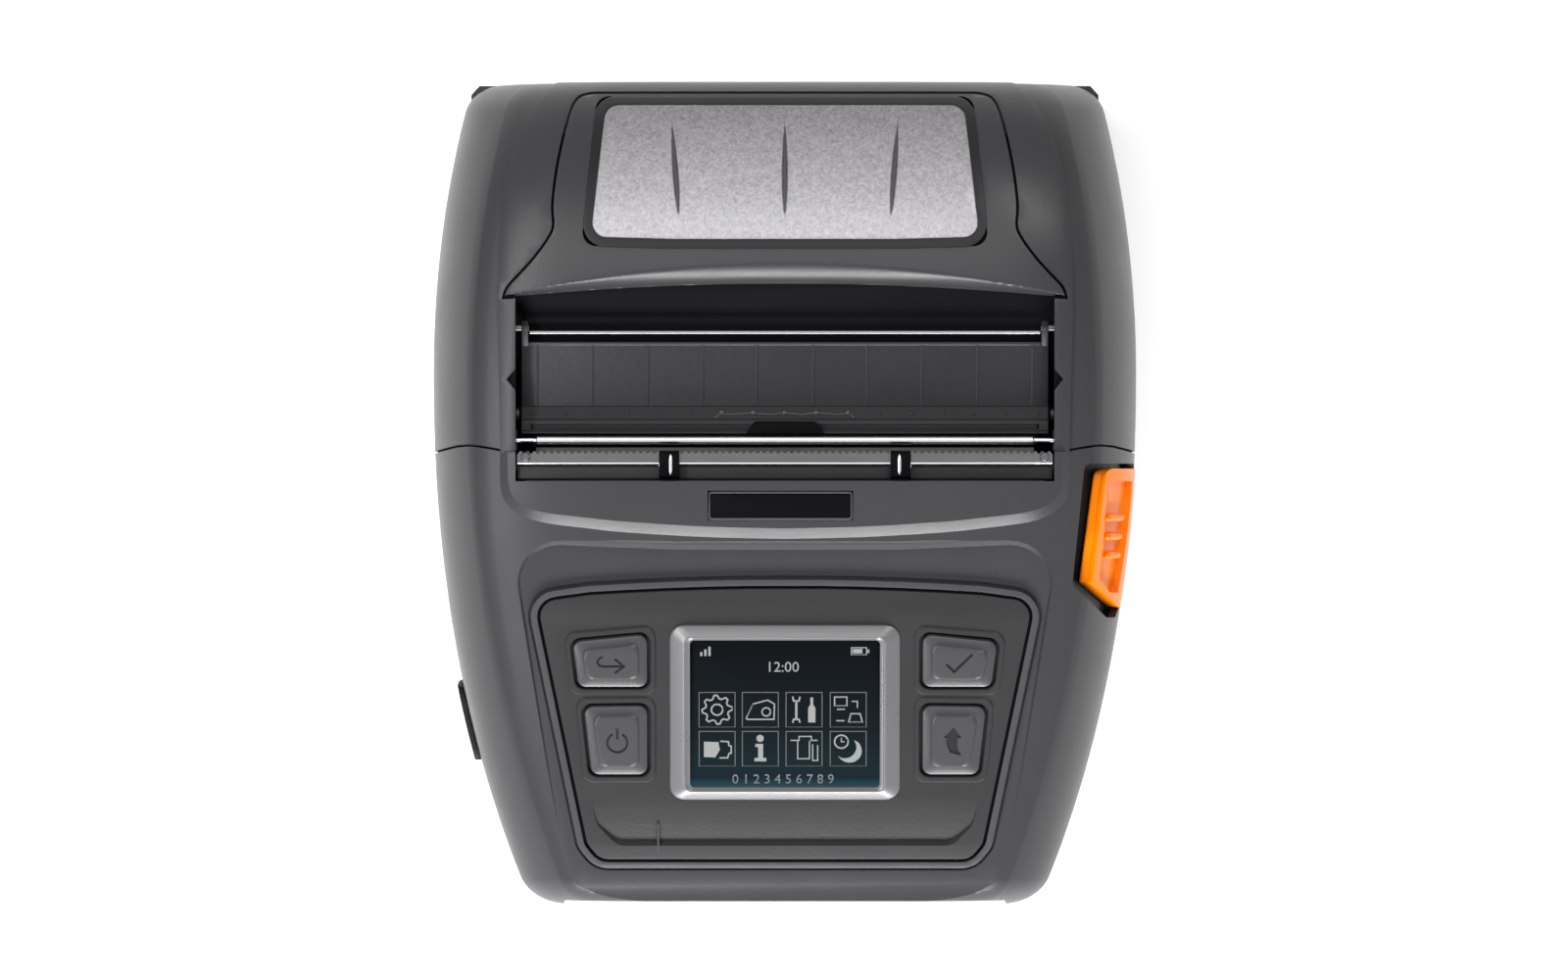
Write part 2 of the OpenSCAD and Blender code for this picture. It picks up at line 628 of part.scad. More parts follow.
module mech_frame() color([0.45, 0.46, 0.48]) difference() {
    union() {
        both_sides() across(plate_x, plate_x + plate_t, [[pinion_y - 13, frame_z], [platen_y + 5, frame_z],
            [platen_y + 7, platen_z + 4], [platen_y - 14, platen_z + 4], [pinion_y - 13, pinion_z + 12]]);
        block([-plate_x, latch_y - 11.4, latch_z + 7], [plate_x, latch_y - 9.8, platen_z + 4]);
        block([1.4 - hook_x, latch_y - 11.4, latch_z + 7], [hook_x - 1.4, latch_y - 5, latch_z + 8.4]);
    }
    for (x = [-plate_x - plate_t - 1, plate_x - 1]) {
        rod(x, x + plate_t + 2, platen_y, platen_z, platen_shaft_r + 0.4);
        translate([x, platen_y, platen_z]) rotate([atan2(lift[1], lift[0]) - 90, 0, 0])
            block([0, -platen_shaft_r - 0.4, 0], [plate_t + 2, platen_shaft_r + 3, 20]);
        rod(x, x + plate_t + 2, latch_y, latch_z, latch_r + run_gap);
    }
    rod(-plate_x - plate_t - 1, -plate_x + 1, idler_y, idler_z, idler_pin_r);
    rod(-plate_x - plate_t - 1, -plate_x + 0.5, pinion_y, pinion_z, 4.5);
}

module printhead() color([0.85, 0.82, 0.72])
    block([-media_w / 2 + 1.5, head_y - head_t, platen_z - 9], [media_w / 2 - 1.5, head_y, pocket_z - 2]);

module head_heatsink() color([0.7, 0.71, 0.73]) difference() {
    block([-media_w / 2, heatsink_y, latch_z + 5], [media_w / 2, heatsink_y + heatsink_t, pocket_z - 2]);
    both_sides() for (z = [latch_z + 8:3:pocket_z - 5])
        block([26, heatsink_y - 1, z], [media_w / 2 - 4, heatsink_y + 1.3, z + 1.4]);
}

module head_springs() color(steel_c) both_sides() translate([16, latch_y - 9.8, platen_z - 3])
    rotate([-90, 0, 0]) difference() {
        cylinder(h = heatsink_y - 0.5 - latch_y + 9.8, r = 2.6, $fn = 32);
        translate([0, 0, 1]) cylinder(h = 20, r = 1.9, $fn = 32);
    }

module latch_shaft() color(steel_c) {
    rod(-plate_x - plate_t + 0.2, plate_x + plate_t + 2.4, latch_y, latch_z, latch_r);
    both_sides() across(hook_x, hook_x + hook_t, rounded([[hook_back, latch_z - 3],
        [latch_y + 3.4, latch_z - 3], [latch_y + 3.4, latch_z + 8], [platen_y - 6.4, platen_z - 4],
        [platen_y - 3.4, platen_z + 1.2], [platen_y - 3.3, platen_z + 3.6],
        [platen_y - 8, platen_z + 3.6], [latch_y - 3.4, latch_z + 9]], 0.5, 3));
    across(plate_x + plate_t + 0.4, plate_x + plate_t + 2.4, rounded([[latch_y - 3.6, latch_z - 3.6],
        [latch_y + 3.6, latch_z - 3.6], [latch_y + 2.6, latch_z + 3], [latch_y - 13, latch_z + 8.4],
        [latch_y - 14, latch_z + 5]], 0.8, 3));
}

// A layer of the key that follows the flank from out to in, cut to the shape of the children
module key_layer(out, in) difference() {
    intersection() {
        form(out, key_from, key_to);
        children();
    }
    form(in, key_from, key_to);
}

module release_key() color([1, 0.45, 0.02]) {
    difference() {
        key_layer(-0.3, wall) across(key_x, body_w, rounded(key_outline, 1.2));
        across(half_w(apron_y) - 3.4, body_w, rounded(grow(key_outline, -4.6), 1));
    }
    key_layer(1.6, wall + 1) across(key_x + 1, body_w, rounded(key_outline, 1.2));
    key_layer(wall + 0.3, wall + 1.8) across(key_x, body_w, rounded(grow(key_outline, 2.4), 1.2));
    key_layer(-0.2, wall) for (i = [0:2]) translate([0, key_rib_y - i * key_rib_pitch, split_z])
        block([half_w(apron_y) - 5, -0.7, 13], [body_w, 0.7, 27]);
}

module key_spring() color(steel_c)
    rod(plate_x + plate_t + 0.6, spring_x, spring_y, spring_z, spring_r, 32);

module media_tray() color([0.2, 0.2, 0.21]) difference() {
    rod(-plate_x + 0.5, plate_x - 0.5, roll_y, roll_z, tray_r + tray_wall, 96);
    rod(-slot_half, slot_half, roll_y, roll_z, tray_r, 96);
    block([-body_w, -body_l, split_z - 0.1], [body_w, body_l, body_h * 2]);
    both_sides() block([slot_in, guide_arm[0] - 0.6, 0], [slot_half + 0.2, guide_arm[1] + 0.8, split_z]);
    block([-plate_x - 1, roll_y - 60, 0], [plate_x + 1, rack_mid_y + 0.6, tray_z + 2]);
}

// One roll guide: a paddle with a hub, and an arm that goes down through the slot in the tray to its rack
module guide(side) {
    across(guide_x, guide_x + guide_t, rounded([[guide_arm[0], tray_z + 8], [guide_arm[1], tray_z + 8],
        [guide_arm[1], roll_z - 17], [roll_y - 6, roll_z - 14], [roll_y + 12, roll_z - 8],
        [roll_y + 13, roll_z + 8], [roll_y, roll_z + 14], [roll_y - 14, roll_z + 8]], 2, 4));
    rod(guide_x - 6, guide_x, roll_y, roll_z, 6);
    block([guide_x, guide_arm[0], tray_z + 4.5], [guide_x + guide_t, guide_arm[1], tray_z + 10]);
    if (side < 0) {
        block([guide_x, guide_arm[0], tray_z], [guide_x + guide_t, guide_arm[1], tray_z + 5]);
        rack(rack_mid_y + pinion_r + 0.9, guide_arm[1] - 0.2, -1);
    } else {
        block([guide_x, rack_mid_y - 8.6, tray_z + 5.2], [guide_x + guide_t, guide_arm[1], tray_z + 7.6]);
        block([guide_x, rack_mid_y - 8.6, tray_z], [guide_x + guide_t, rack_mid_y - 4.4, tray_z + 7.6]);
        rack(rack_mid_y - pinion_r - 0.9, rack_mid_y - 4.4 - rack_w, 1);
    }
}
// A flat toothed bar that reaches past the middle, from its tooth roots to its back
module rack(root, back, side) {
    translate([0, 0, tray_z]) linear_extrude(rack_h) polygon(concat(
        [[guide_x + guide_t, back], [-12, back], [-12, root]],
        [for (i = [0:24]) for (p = [[0, 0], [0.25, 0.9], [0.5, 0.9], [0.75, 0]])
            [-11 + (i + p[0]) * rack_pitch, root + side * p[1]]],
        [[guide_x + guide_t, root]]));
}
module guide_left() color([0.24, 0.24, 0.25]) mirror([1, 0, 0]) guide(-1);
module guide_right() color([0.24, 0.24, 0.25]) guide(1);

module guide_pinion() color("ivory") translate([0, rack_mid_y, tray_z]) difference() {
    linear_extrude(rack_h) polygon([for (i = [0:9])
        for (p = [[-0.32, -0.9], [-0.12, 0.6], [0.12, 0.6], [0.32, -0.9]])
        let (a = (i + p[0]) * 36, q = pinion_r + p[1]) [q * cos(a), q * sin(a)]]);
    translate([0, 0, -1]) cylinder(h = 10, r = guide_pin_r + run_gap, $fn = 40);
}

module sensor_bar() color(black_c) {
    block([-plate_x, platen_y - 6.2, latch_z + 1], [plate_x, platen_y - 3.4, latch_z + 5]);
    block([-34, platen_y - 6.2, latch_z - 3.6], [-22, platen_y - 2.6, latch_z + 5.6]);
}

module battery_pack() color([0.13, 0.13, 0.14]) difference() {
    translate([0, battery_end, back_z + 0.1]) linear_extrude(battery_t - 0.1)
        polygon(rounded(rect(battery_w / 2, battery_l / 2, battery_l / 2), 0.8));
    block([-8.6, bay_y - 4, 0], [8.6, bay_y + 1, back_z + 2.9]);
    for (x = [-18:6:18]) block([x - 1, battery_end + 8, 0], [x + 1, battery_end + 30, back_z + 0.6]);
}

module battery_latch() color([0.22, 0.22, 0.23]) {
    block([-8.2, bay_y + 0.4, back_z + 0.1], [8.2, bay_y + 6.4, back_z + 2.7]);
    block([-8.2, bay_y - 3.4, back_z + 1.1], [8.2, bay_y + 1, back_z + 2.7]);
    for (i = [0:2]) block([-6, bay_y + 1.4 + i * 1.6, back_z - 0.2], [6, bay_y + 2.2 + i * 1.6, back_z + 0.4]);
}

module battery_contacts() color("goldenrod")
    for (i = [-2:2]) block([i * 4 - 0.8, bay_y - 0.28, bay_z - 9], [i * 4 + 0.8, bay_y, bay_z - 3]);

module main_board() color([0.05, 0.3, 0.14]) {
    block([-34, y_bot + 16, board_z], [41, apron_y + 2, board_z + 1.6]);
    block([-10, y_bot + 36, board_z + 1.6], [6, y_bot + 52, board_z + 3.2]);
    block([14, y_bot + 34, board_z + 1.6], [28, y_bot + 46, board_z + 3]);
    block([-30, y_bot + 22, board_z + 1.6], [-16, y_bot + 30, board_z + 4.6]);
    block([30, y_bot + 20, board_z + 1.6], [39, y_bot + 32, board_z + 4]);
    block([-26, y_bot + 60, board_z + 1.6], [-8, y_bot + 66, board_z + 5]);
}

module port_block() color([0.7, 0.7, 0.72]) difference() {
    block([port_x, port_y - 6.4, port_z - 7.6], [port_x + 9, port_y + 6.4, port_z + 8]);
    block([port_x - 1, port_y - 4.4, port_z - 5], [port_x + 6, port_y + 4.4, port_z - 1.4]);
    translate([port_x - 1, port_y, port_z + 3.4]) rotate([0, 90, 0]) cylinder(h = 7, r = 2.6, $fn = 40);
}

// Rubber flap over the sockets: a lid, a plug that fills the opening and a rolled edge that it bends on
module port_cover() color(black_c) {
    lid = rounded([[port_y - 7.6, port_z - 9.5], [port_y + 7.2, port_z - 9.5],
        [port_y + 7.2, port_z + 10], [port_y - 7.6, port_z + 10]], 2);
    plug = rounded([[port_y - 5, port_z - 6], [port_y + 2.6, port_z - 6],
        [port_y + 2.6, port_z + 6], [port_y - 5, port_z + 6]], 1.5);
    difference() {
        intersection() {
            form(-2.2, port_from, port_to);
            across(-body_w, -half_w(port_y) + 9, lid);
        }
        form(-part_gap, port_from, port_to);
    }
    intersection() {
        form(-1, port_from, port_to);
        difference() {
            across(-body_w, -half_w(port_y) + 9, plug);
            form(1.4, port_from, port_to);
        }
    }
    translate([flap_hinge_x, flap_hinge_y, port_z - 9]) cylinder(h = 18.5, r = flap_edge_r, $fn = 32);
    block([flap_hinge_x - 0.6, flap_hinge_y - 3, port_z - 9],
        [flap_hinge_x + 0.5, flap_hinge_y, port_z + 9.5]);
}

module button_panel() color(grey_c) on_slope() difference() {
    union() {
        layer(seat_w, panel_w, rounded(panel_shrunk, 2.8));
        intersection() {
            layer(seat_w + 0.1, panel_w + 0.6, rounded(shrink(panel_shrunk, 1), 2.6));
            for (s = [-1, 1], row = [0, 1])
                layer(seat_w, panel_w + 0.35, rounded(button_outline(s, row, 1.9), 2.6));
        }
    }
    layer(seat_w - 1, 5, rounded(rect(bezel_w / 2 - 2.3, bezel_h / 2 - 1.7, bezel_v), 1));
    for (s = [-1, 1], row = [0, 1]) layer(seat_w - 1, 5, rounded(button_outline(s, row, 0.45), 2.2));
}
panel_shrunk = shrink(panel_outline, 0.3);
// A rectangle of half width a and half height b round the place v up the frame
function rect(a, b, v) = [[-a, v - b], [a, v - b], [a, v + b], [-a, v + b]];
// Outline of a button cap: side -1 or 1, row 0 above and 1 below, drawn d outside the cap
function button_outline(s, row, d) = row == 0 ?
    [[s * (button_x - d), bezel_v + 5.9 - d], [s * (button_x + 15.1 + d), bezel_v + 5.9 - d],
     [s * (button_x + 16.4 + d), bezel_v + 16.2 + d], [s * (button_x - d), bezel_v + 17.9 + d]] :
    [[s * (button_x - d), bezel_v - 14.1 - d], [s * (button_x + 12.3 + d), bezel_v - 14.1 - d],
     [s * (button_x + 14 + d), bezel_v + 1.4 + d], [s * (button_x - d), bezel_v + 1.6 + d]];

// A button: cap, a flange that stays under the panel and a stem over its switch dome
module button(s, row) on_slope() {
    mid = [s * (button_x + 7), bezel_v + (row == 0 ? 11.5 : -6.2)];
    layer(seat_w - 0.6, panel_w + 0.7, rounded(button_outline(s, row, 0), 1.9));
    layer(panel_w + 0.6, panel_w + 1.5, rounded(button_outline(s, row, -0.8), 1.6));
    layer(seat_w - 1.3, seat_w - 0.3, rounded(button_outline(s, row, 1.2), 1.9));
    translate([mid[0], mid[1], dome_w + button_travel + 0.05])
        cylinder(h = seat_w - 0.6 - dome_w - button_travel, r = 2, $fn = 32);
}
module button_back() color(grey_c) button(-1, 0);
module button_power() color(grey_c) button(-1, 1);
module button_ok() color(grey_c) button(1, 0);
module button_feed() color(grey_c) button(1, 1);

module display_bezel() color([0.42, 0.42, 0.44]) on_slope() difference() {
    union() {
        layer(panel_w, panel_w + 1.1, rounded(rect(bezel_w / 2, bezel_h / 2, bezel_v), 3));
        layer(panel_w, panel_w + 1.9, rounded(rect(bezel_w / 2 - 1, bezel_h / 2 - 1, bezel_v), 2.6));
    }
    layer(panel_w - 1, panel_w + 3, rounded(rect(screen_w / 2, screen_h / 2, bezel_v), 1));
}

module display_lens() color([0.05, 0.07, 0.08]) on_slope()
    layer(panel_w - 1.1, panel_w - 0.05, rounded(rect(bezel_w / 2 - 2.5, bezel_h / 2 - 1.9, bezel_v), 1));

module lcd_module() color([0.15, 0.2, 0.22]) on_slope()
    layer(board_w + 1.7, panel_w - 1.2, rounded(rect(bezel_w / 2 - 2.6, bezel_h / 2 - 2, bezel_v), 0.8));

module keypad_board() color([0.05, 0.3, 0.14]) on_slope() {
    layer(board_w, board_w + 1.6, rounded(rect(panel_half - 8, bezel_h / 2 - 1, bezel_v), 1.5));
    for (s = [-1, 1]) for (v = [11.5, -6.2]) translate([s * (button_x + 7), bezel_v + v, board_w + 1.5])
        cylinder(h = dome_w - board_w - 1.5, r1 = 3.2, r2 = 2.2, $fn = 32);
}

module belt_clip() color(black_c) difference() {
    union() {
        translate([0, 0, back_z - 0.4]) linear_extrude(1.6)
            polygon(rounded([[-clip_w / 2, clip_y - 3], [-clip_w / 2 + 2, clip_y - clip_l],
                [clip_w / 2 - 2, clip_y - clip_l], [clip_w / 2, clip_y - 3]], 1.2));
        rod(-clip_w / 2, clip_w / 2, clip_y, clip_z, 1.55);
        block([-clip_w / 2, clip_y - 4.4, back_z - 0.1], [clip_w / 2, clip_y, back_z + 1.8]);
        block([-clip_w / 2 + 3, clip_y - clip_l + 1, back_z + 0.8],
            [clip_w / 2 - 3, clip_y - clip_l + 2.6, back_z + 2.6]);
    }
    rod(-clip_w, clip_w, clip_y, clip_z, clip_pin_r + run_gap);
}

module clip_pin() color(steel_c)
    rod(-clip_w / 2 - 3.8, clip_w / 2 + 3.8, clip_y, clip_z, clip_pin_r);

module strap_lugs() color(black_c) both_sides() difference() {
    translate([0, 0, lug_z]) linear_extrude(lug_t) polygon([[lug_x, lug_y], [lug_x + lug_w, lug_y],
        [lug_x + lug_w, y_top - 2.4], [lug_x + lug_w - 1.8, y_top - 0.4], [lug_x, y_top - 0.4]]);
    block([lug_x + 2, lug_y + 2.2, lug_z - 1], [lug_x + lug_w - 1.6, y_top + 1, lug_z + lug_t - 2]);
}

module strap_bars() color(steel_c) both_sides()
    rod(lug_x + 2, lug_x + lug_w - 1.6, y_top - 1.8, lug_z + lug_t / 2, 1.2, 32);

module shell_screws() color(steel_c) both_sides() for (s = screw_spots) translate([s[0], s[1], 2.2]) {
    cylinder(h = 2.8, r = screw_head_r, $fn = 32);
    cylinder(h = split_z + 8, r = screw_r, $fn = 32);
}

module rubber_feet() color(black_c) both_sides() for (y = [y_bot + 24, y_top - 26])
    translate([half_w(y) - 17, y, 0]) cylinder(h = back_z, r = 5, $fn = 48);

rear_shell();
front_shell();
media_cover();
window_seal();
window_lens();
cover_liner();
peel_bar();
peeler_door();
peel_roller();
peeler_pins();
platen_shaft();
platen_roller();
platen_bushes();
platen_gear();
hinge_pins();
tear_bar();
tear_bar_screws();
tear_bar_clips();
badge_plate();
button_panel();
display_bezel();
display_lens();
lcd_module();
keypad_board();
button_back();
button_power();
button_ok();
button_feed();
main_board();
port_block();
port_cover();
mech_frame();
printhead();
head_heatsink();
head_springs();
latch_shaft();
release_key();
key_spring();
drive_motor();
motor_pinion();
idler_gear();
idler_pin();
media_tray();
guide_left();
guide_right();
guide_pinion();
sensor_bar();
battery_pack();
battery_latch();
battery_contacts();
belt_clip();
clip_pin();
strap_lugs();
strap_bars();
shell_screws();
rubber_feet();
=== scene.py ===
"""The looks of the portable barcode printer, built round its packed construction model.

It lies on its back: +Z comes out of the front, +Y is the end with the cover hinge and +X the side with
the orange release key. The printer's own sizes are in millimetres here and become metres when a mesh is
made.
"""
import math

import bmesh
import bpy
from mathutils import Matrix, Vector


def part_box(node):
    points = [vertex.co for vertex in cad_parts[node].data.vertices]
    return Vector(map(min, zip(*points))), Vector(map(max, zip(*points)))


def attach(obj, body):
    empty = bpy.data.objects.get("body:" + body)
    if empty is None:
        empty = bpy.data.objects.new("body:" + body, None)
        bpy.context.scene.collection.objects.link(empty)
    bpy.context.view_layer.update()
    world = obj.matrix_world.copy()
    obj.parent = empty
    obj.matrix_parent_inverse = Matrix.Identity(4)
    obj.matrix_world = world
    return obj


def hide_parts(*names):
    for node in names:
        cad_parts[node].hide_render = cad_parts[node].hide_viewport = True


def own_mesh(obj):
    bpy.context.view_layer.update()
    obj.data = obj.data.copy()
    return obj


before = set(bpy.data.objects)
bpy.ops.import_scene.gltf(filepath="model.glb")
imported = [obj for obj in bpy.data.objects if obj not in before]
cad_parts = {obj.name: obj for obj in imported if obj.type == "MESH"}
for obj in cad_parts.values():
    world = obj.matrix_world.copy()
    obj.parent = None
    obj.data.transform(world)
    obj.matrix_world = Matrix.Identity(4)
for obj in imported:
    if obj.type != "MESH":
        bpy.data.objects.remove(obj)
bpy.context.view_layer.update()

MM = 0.001

# Sizes that the construction model uses too
BODY_W, BODY_L, BODY_H = 155.5, 182.0, 77.0
TOP_TAPER, FOOT_TAPER, FOOT_BEND = 8.4, 20.9, 2.2
BAND_W = 8.5
CORNER_R, FOOT_R = 6.0, 6.0
TILT = math.radians(15)
SPLIT_Y, SPLIT_Z, GAP = 10.2, 28.5, 0.4
BACK_Z = 1.0
Y_TOP, Y_BOT = BODY_L / 2, -BODY_L / 2
WIDE_Y, CROWN_Y = Y_TOP - 64, Y_TOP - 46
APRON_Y = SPLIT_Y - 19.2
HINGE_X, HINGE_Y, HINGE_Z = 40.0, Y_TOP - 5, SPLIT_Z + 5.5
CROWN_END_Z = HINGE_Z + 12
APRON_Z = BODY_H - math.tan(TILT) * (CROWN_Y - APRON_Y) / 2
RIDGE_DROP_TOP, RIDGE_DROP_LOW = 9.0, 6.0
SLOT_HALF = 58.9
DOOR_TOP, DOOR_LOW = SPLIT_Y + 23.2, SPLIT_Y + 3.1
DOOR_Z, DOOR_SLOPE, DOOR_T = BODY_H - 11.6, 2.4, 2.0
PIVOT_Y, PIVOT_Z = DOOR_TOP + 3.1, DOOR_Z + 3.2
PEEL_Y, PEEL_Z = SPLIT_Y + 1.7, BODY_H - 9.8
TEAR_Z, TEAR_T = BODY_H - 7.7, 0.7
POCKET_Y, POCKET_Z = SPLIT_Y - 7.3, BODY_H - 13.5
VALLEY_W, PANEL_W, SEAT_W = -4.5, -3.2, -5.2
PANEL_HALF = BODY_W / 2 - 20.5
PANEL_TOP_V = -9.3
PANEL_LOW_V = (Y_BOT - APRON_Y) / math.cos(TILT) + 7.2
VALLEY_HALF = PANEL_HALF + 2.8
BEZEL_W, BEZEL_H = 50.6, 39.9
SCREEN_W, SCREEN_H = 41.7, 33.6
BEZEL_V = PANEL_TOP_V - 31.75
BUTTON_X = BEZEL_W / 2 + 4.9
PORT_Y, PORT_Z = Y_BOT + 40.5, 17.0
END_RECESS = 1.3

# A cross-section: how fast the front and the two halves of a flank turn, and how far the foot goes in
FRONT_TURN, FLANK_TURN, FOOT_TURN, FOOT_IN = 4.85, 2.37, 6.3, 7
RIDGE_SOFT, FLANK_STEPS, TOP_STEPS = 1.3, 9, 22

# How far the casing's bands, raised frame and raised middle lie below the construction model's face
BAND_DEEP, FRAME_DEEP, MIDDLE_DEEP = 1.15, 0.6, 0.06
END_DEEP, SAFE = 0.3, 0.06
COVER_HOLLOW, FRONT_HOLLOW = 2.6, 2.8
# A height that is clear of the whole front, for cutters that go out through it
CLEAR = 95
HALF_W = BODY_W / 2 + BAND_DEEP - 0.12


def half_w(y):
    """Half the casing's width at one place along the body."""
    if y > WIDE_Y:
        return HALF_W - TOP_TAPER * ((y - WIDE_Y) / (Y_TOP - WIDE_Y)) ** 2
    return HALF_W - FOOT_TAPER * ((WIDE_Y - y) / (WIDE_Y - Y_BOT)) ** FOOT_BEND


def end_deep(deep):
    """How far a face drawn in by deep along the flanks is drawn in at the two ends."""
    return max(SAFE, deep - BAND_DEEP + END_DEEP)


def end_in(y, r=CORNER_R, deep=0.0):
    """How far a rounded corner of radius r draws the outline in at the two ends."""
    d = max(0.0, min(r, abs(y) + end_deep(deep) - (BODY_L / 2 - r)))
    return r - math.sqrt(max(0.0, r * r - d * d))


def crown_z(y, deep=0.0):
    """Height of the front along the middle, on a face that lies deep under the construction model's."""
    if y > CROWN_Y:
        share = min(1.0, (y - CROWN_Y) / (Y_TOP - CROWN_Y - end_deep(deep)))
        return CROWN_END_Z + (BODY_H - CROWN_END_Z - deep) * math.sqrt(max(0.0, 1 - share ** 2))
    if y > APRON_Y:
        return BODY_H - deep - math.tan(TILT) * (CROWN_Y - y) ** 2 / (2 * (CROWN_Y - APRON_Y))
    foot = end_in(y, FOOT_R, deep) if y < Y_BOT + FOOT_R + end_deep(deep) else 0
    return APRON_Z - deep - math.tan(TILT) * (APRON_Y - y) - foot


def ridge_z(y, deep=0.0):
    """Height of the ridge between the front and the flank."""
    share = min(1.0, max(0.0, (y - APRON_Y) / (CROWN_Y - APRON_Y)))
    return crown_z(y, deep) - RIDGE_DROP_LOW - (RIDGE_DROP_TOP - RIDGE_DROP_LOW) * share


def top_z(x, y, deep=0.0):
    """Height of the front's face at a point."""
    reach = half_w(y) - end_in(y, deep=deep) - BAND_W
    share = min(1.0, abs(x) / reach)
    crown = crown_z(y, deep)
    return crown - (crown - ridge_z(y, deep)) * share ** FRONT_TURN


def flank_x(y, z, deep=0.0):
    """Half the width of the flank at one height."""
    w = half_w(y) - end_in(y, deep=deep) - deep
    low, high = BACK_Z + deep, ridge_z(y, deep)
    middle = (low + high) / 2
    if z > middle:
        return w - BAND_W * min(1.0, (z - middle) / (high - middle)) ** FLANK_TURN
    return w - FOOT_IN * min(1.0, (middle - z) / (middle - low)) ** FOOT_TURN


def rows(y0, y1, deep=0.0, step=2.5):
    """Places along the body between two ends, closer together where the form turns."""
    places = {y0, y1}
    count = int(BODY_L / step)
    places.update(Y_BOT + CORNER_R + i * (CROWN_Y - Y_BOT - CORNER_R) / count for i in range(count + 1))
    places.update(Y_BOT + end_deep(deep) + CORNER_R * (1 - math.sin(math.radians(a)))
                  for a in range(0, 91, 9))
    places.update(CROWN_Y + (Y_TOP - CROWN_Y - end_deep(deep)) * math.sin(math.radians(a))
                  for a in [3 * k for k in range(28)] + [83, 85, 86.7, 88, 89, 90])
    kept = sorted(y for y in places if y0 <= y <= y1)
    return [y for i, y in enumerate(kept) if i == 0 or y - kept[i - 1] > 0.004]


def on_slope(u, v, w):
    """A point of the tilted lower front, whose third direction is the slope's normal."""
    return (u, APRON_Y + v * math.cos(TILT) - w * math.sin(TILT),
            APRON_Z + v * math.sin(TILT) + w * math.cos(TILT))


def rounded(outline, radius, steps=6):
    """An outline with each corner turned into an arc."""
    result = []
    count = len(outline)
    for i in range(count):
        before, here, after = (Vector(outline[(i + k) % count]) for k in (-1, 0, 1))
        a, b = (before - here).normalized(), (after - here).normalized()
        half = a.angle(b) / 2
        if math.pi - 2 * half < 0.2:
            result.append(tuple(here))
            continue
        reach = min(radius / math.tan(half), 0.49 * min((before - here).length, (after - here).length))
        r = reach * math.tan(half)
        centre = here + (a + b).normalized() * r / math.sin(half)
        start, end = here + a * reach - centre, here + b * reach - centre
        turn = start.angle_signed(end)
        for k in range(steps + 1):
            angle = -turn * k / steps
            c, s = math.cos(angle), math.sin(angle)
            result.append((centre.x + start.x * c - start.y * s, centre.y + start.x * s + start.y * c))
    return result


def mirrored(outline):
    """An outline's mirror image across the middle, drawn from its other end."""
    return [(-x, y) for x, y in reversed(outline)]


def both(outline):
    """A right-hand outline closed by its own mirror image."""
    return list(outline) + mirrored(outline)


def grown(outline, distance):
    """An outline drawn out by a distance, each side moved along its own normal."""
    count = len(outline)
    area = sum(outline[i][0] * outline[(i + 1) % count][1] - outline[(i + 1) % count][0] * outline[i][1]
               for i in range(count))
    side = 1 if area > 0 else -1
    result = []
    for i in range(count):
        before, here, after = (Vector(outline[(i + k) % count]) for k in (-1, 0, 1))
        a, b = (here - before).normalized(), (after - here).normalized()
        na, nb = Vector((a.y, -a.x)) * side, Vector((b.y, -b.x)) * side
        bisector = (na + nb)
        bisector /= max(0.35, bisector.dot(na))
        result.append(tuple(here + bisector * distance))
    return result


def rect(a, b, v=0.0, u=0.0):
    return [(u - a, v - b), (u + a, v - b), (u + a, v + b), (u - a, v + b)]


def smooth_path(points, step=1.5, pieces=0):
    """A Catmull-Rom curve through points, as closely spaced points.

    pieces fixes their number between two points."""
    result = []
    padded = [points[0]] + list(points) + [points[-1]]
    for i in range(1, len(padded) - 2):
        p0, p1, p2, p3 = (Vector(p) for p in padded[i - 1:i + 3])
        count = pieces or max(1, round((p2 - p1).length / step))
        for k in range(count):
            t = k / count
            result.append(tuple(0.5 * (2 * p1 + (p2 - p0) * t + (2 * p0 - 5 * p1 + 4 * p2 - p3) * t * t
                                       + (3 * p1 - p0 - 3 * p2 + p3) * t ** 3)))
    result.append(tuple(points[-1]))
    return result


def table(value, rows):
    """A value read off a table of pairs, eased between its rows."""
    if value <= rows[0][0]:
        return rows[0][1]
    for (a, p), (b, q) in zip(rows, rows[1:]):
        if value <= b:
            return p + (q - p) * (value - a) / (b - a)
    return rows[-1][1]


# Tools for modelling

def only(piece):
    """Leaves one piece selected and active, in object mode."""
    if bpy.context.object and bpy.context.object.mode != "OBJECT":
        bpy.ops.object.mode_set(mode="OBJECT")
    bpy.ops.object.select_all(action="DESELECT")
    if piece is not None:
        piece.select_set(True)
        bpy.context.view_layer.objects.active = piece


def named(name):
    piece = bpy.context.object
    piece.name = name
    piece.data.name = name
    return piece


def tidy(piece, merge=0.0):
    """Merges doubled vertices and turns every face outwards."""
    only(piece)
    bpy.ops.object.mode_set(mode="EDIT")
    bpy.ops.mesh.select_all(action="SELECT")
    if merge:
        bpy.ops.mesh.remove_doubles(threshold=merge * MM)
    bpy.ops.mesh.normals_make_consistent(inside=False)
    bpy.ops.object.mode_set(mode="OBJECT")
    return piece


def volume(piece):
    """The volume inside a piece; below nought where its faces look inwards."""
    shape = bmesh.new()
    shape.from_mesh(piece.data)
    inside = shape.calc_volume(signed=True)
    shape.free()
    return inside


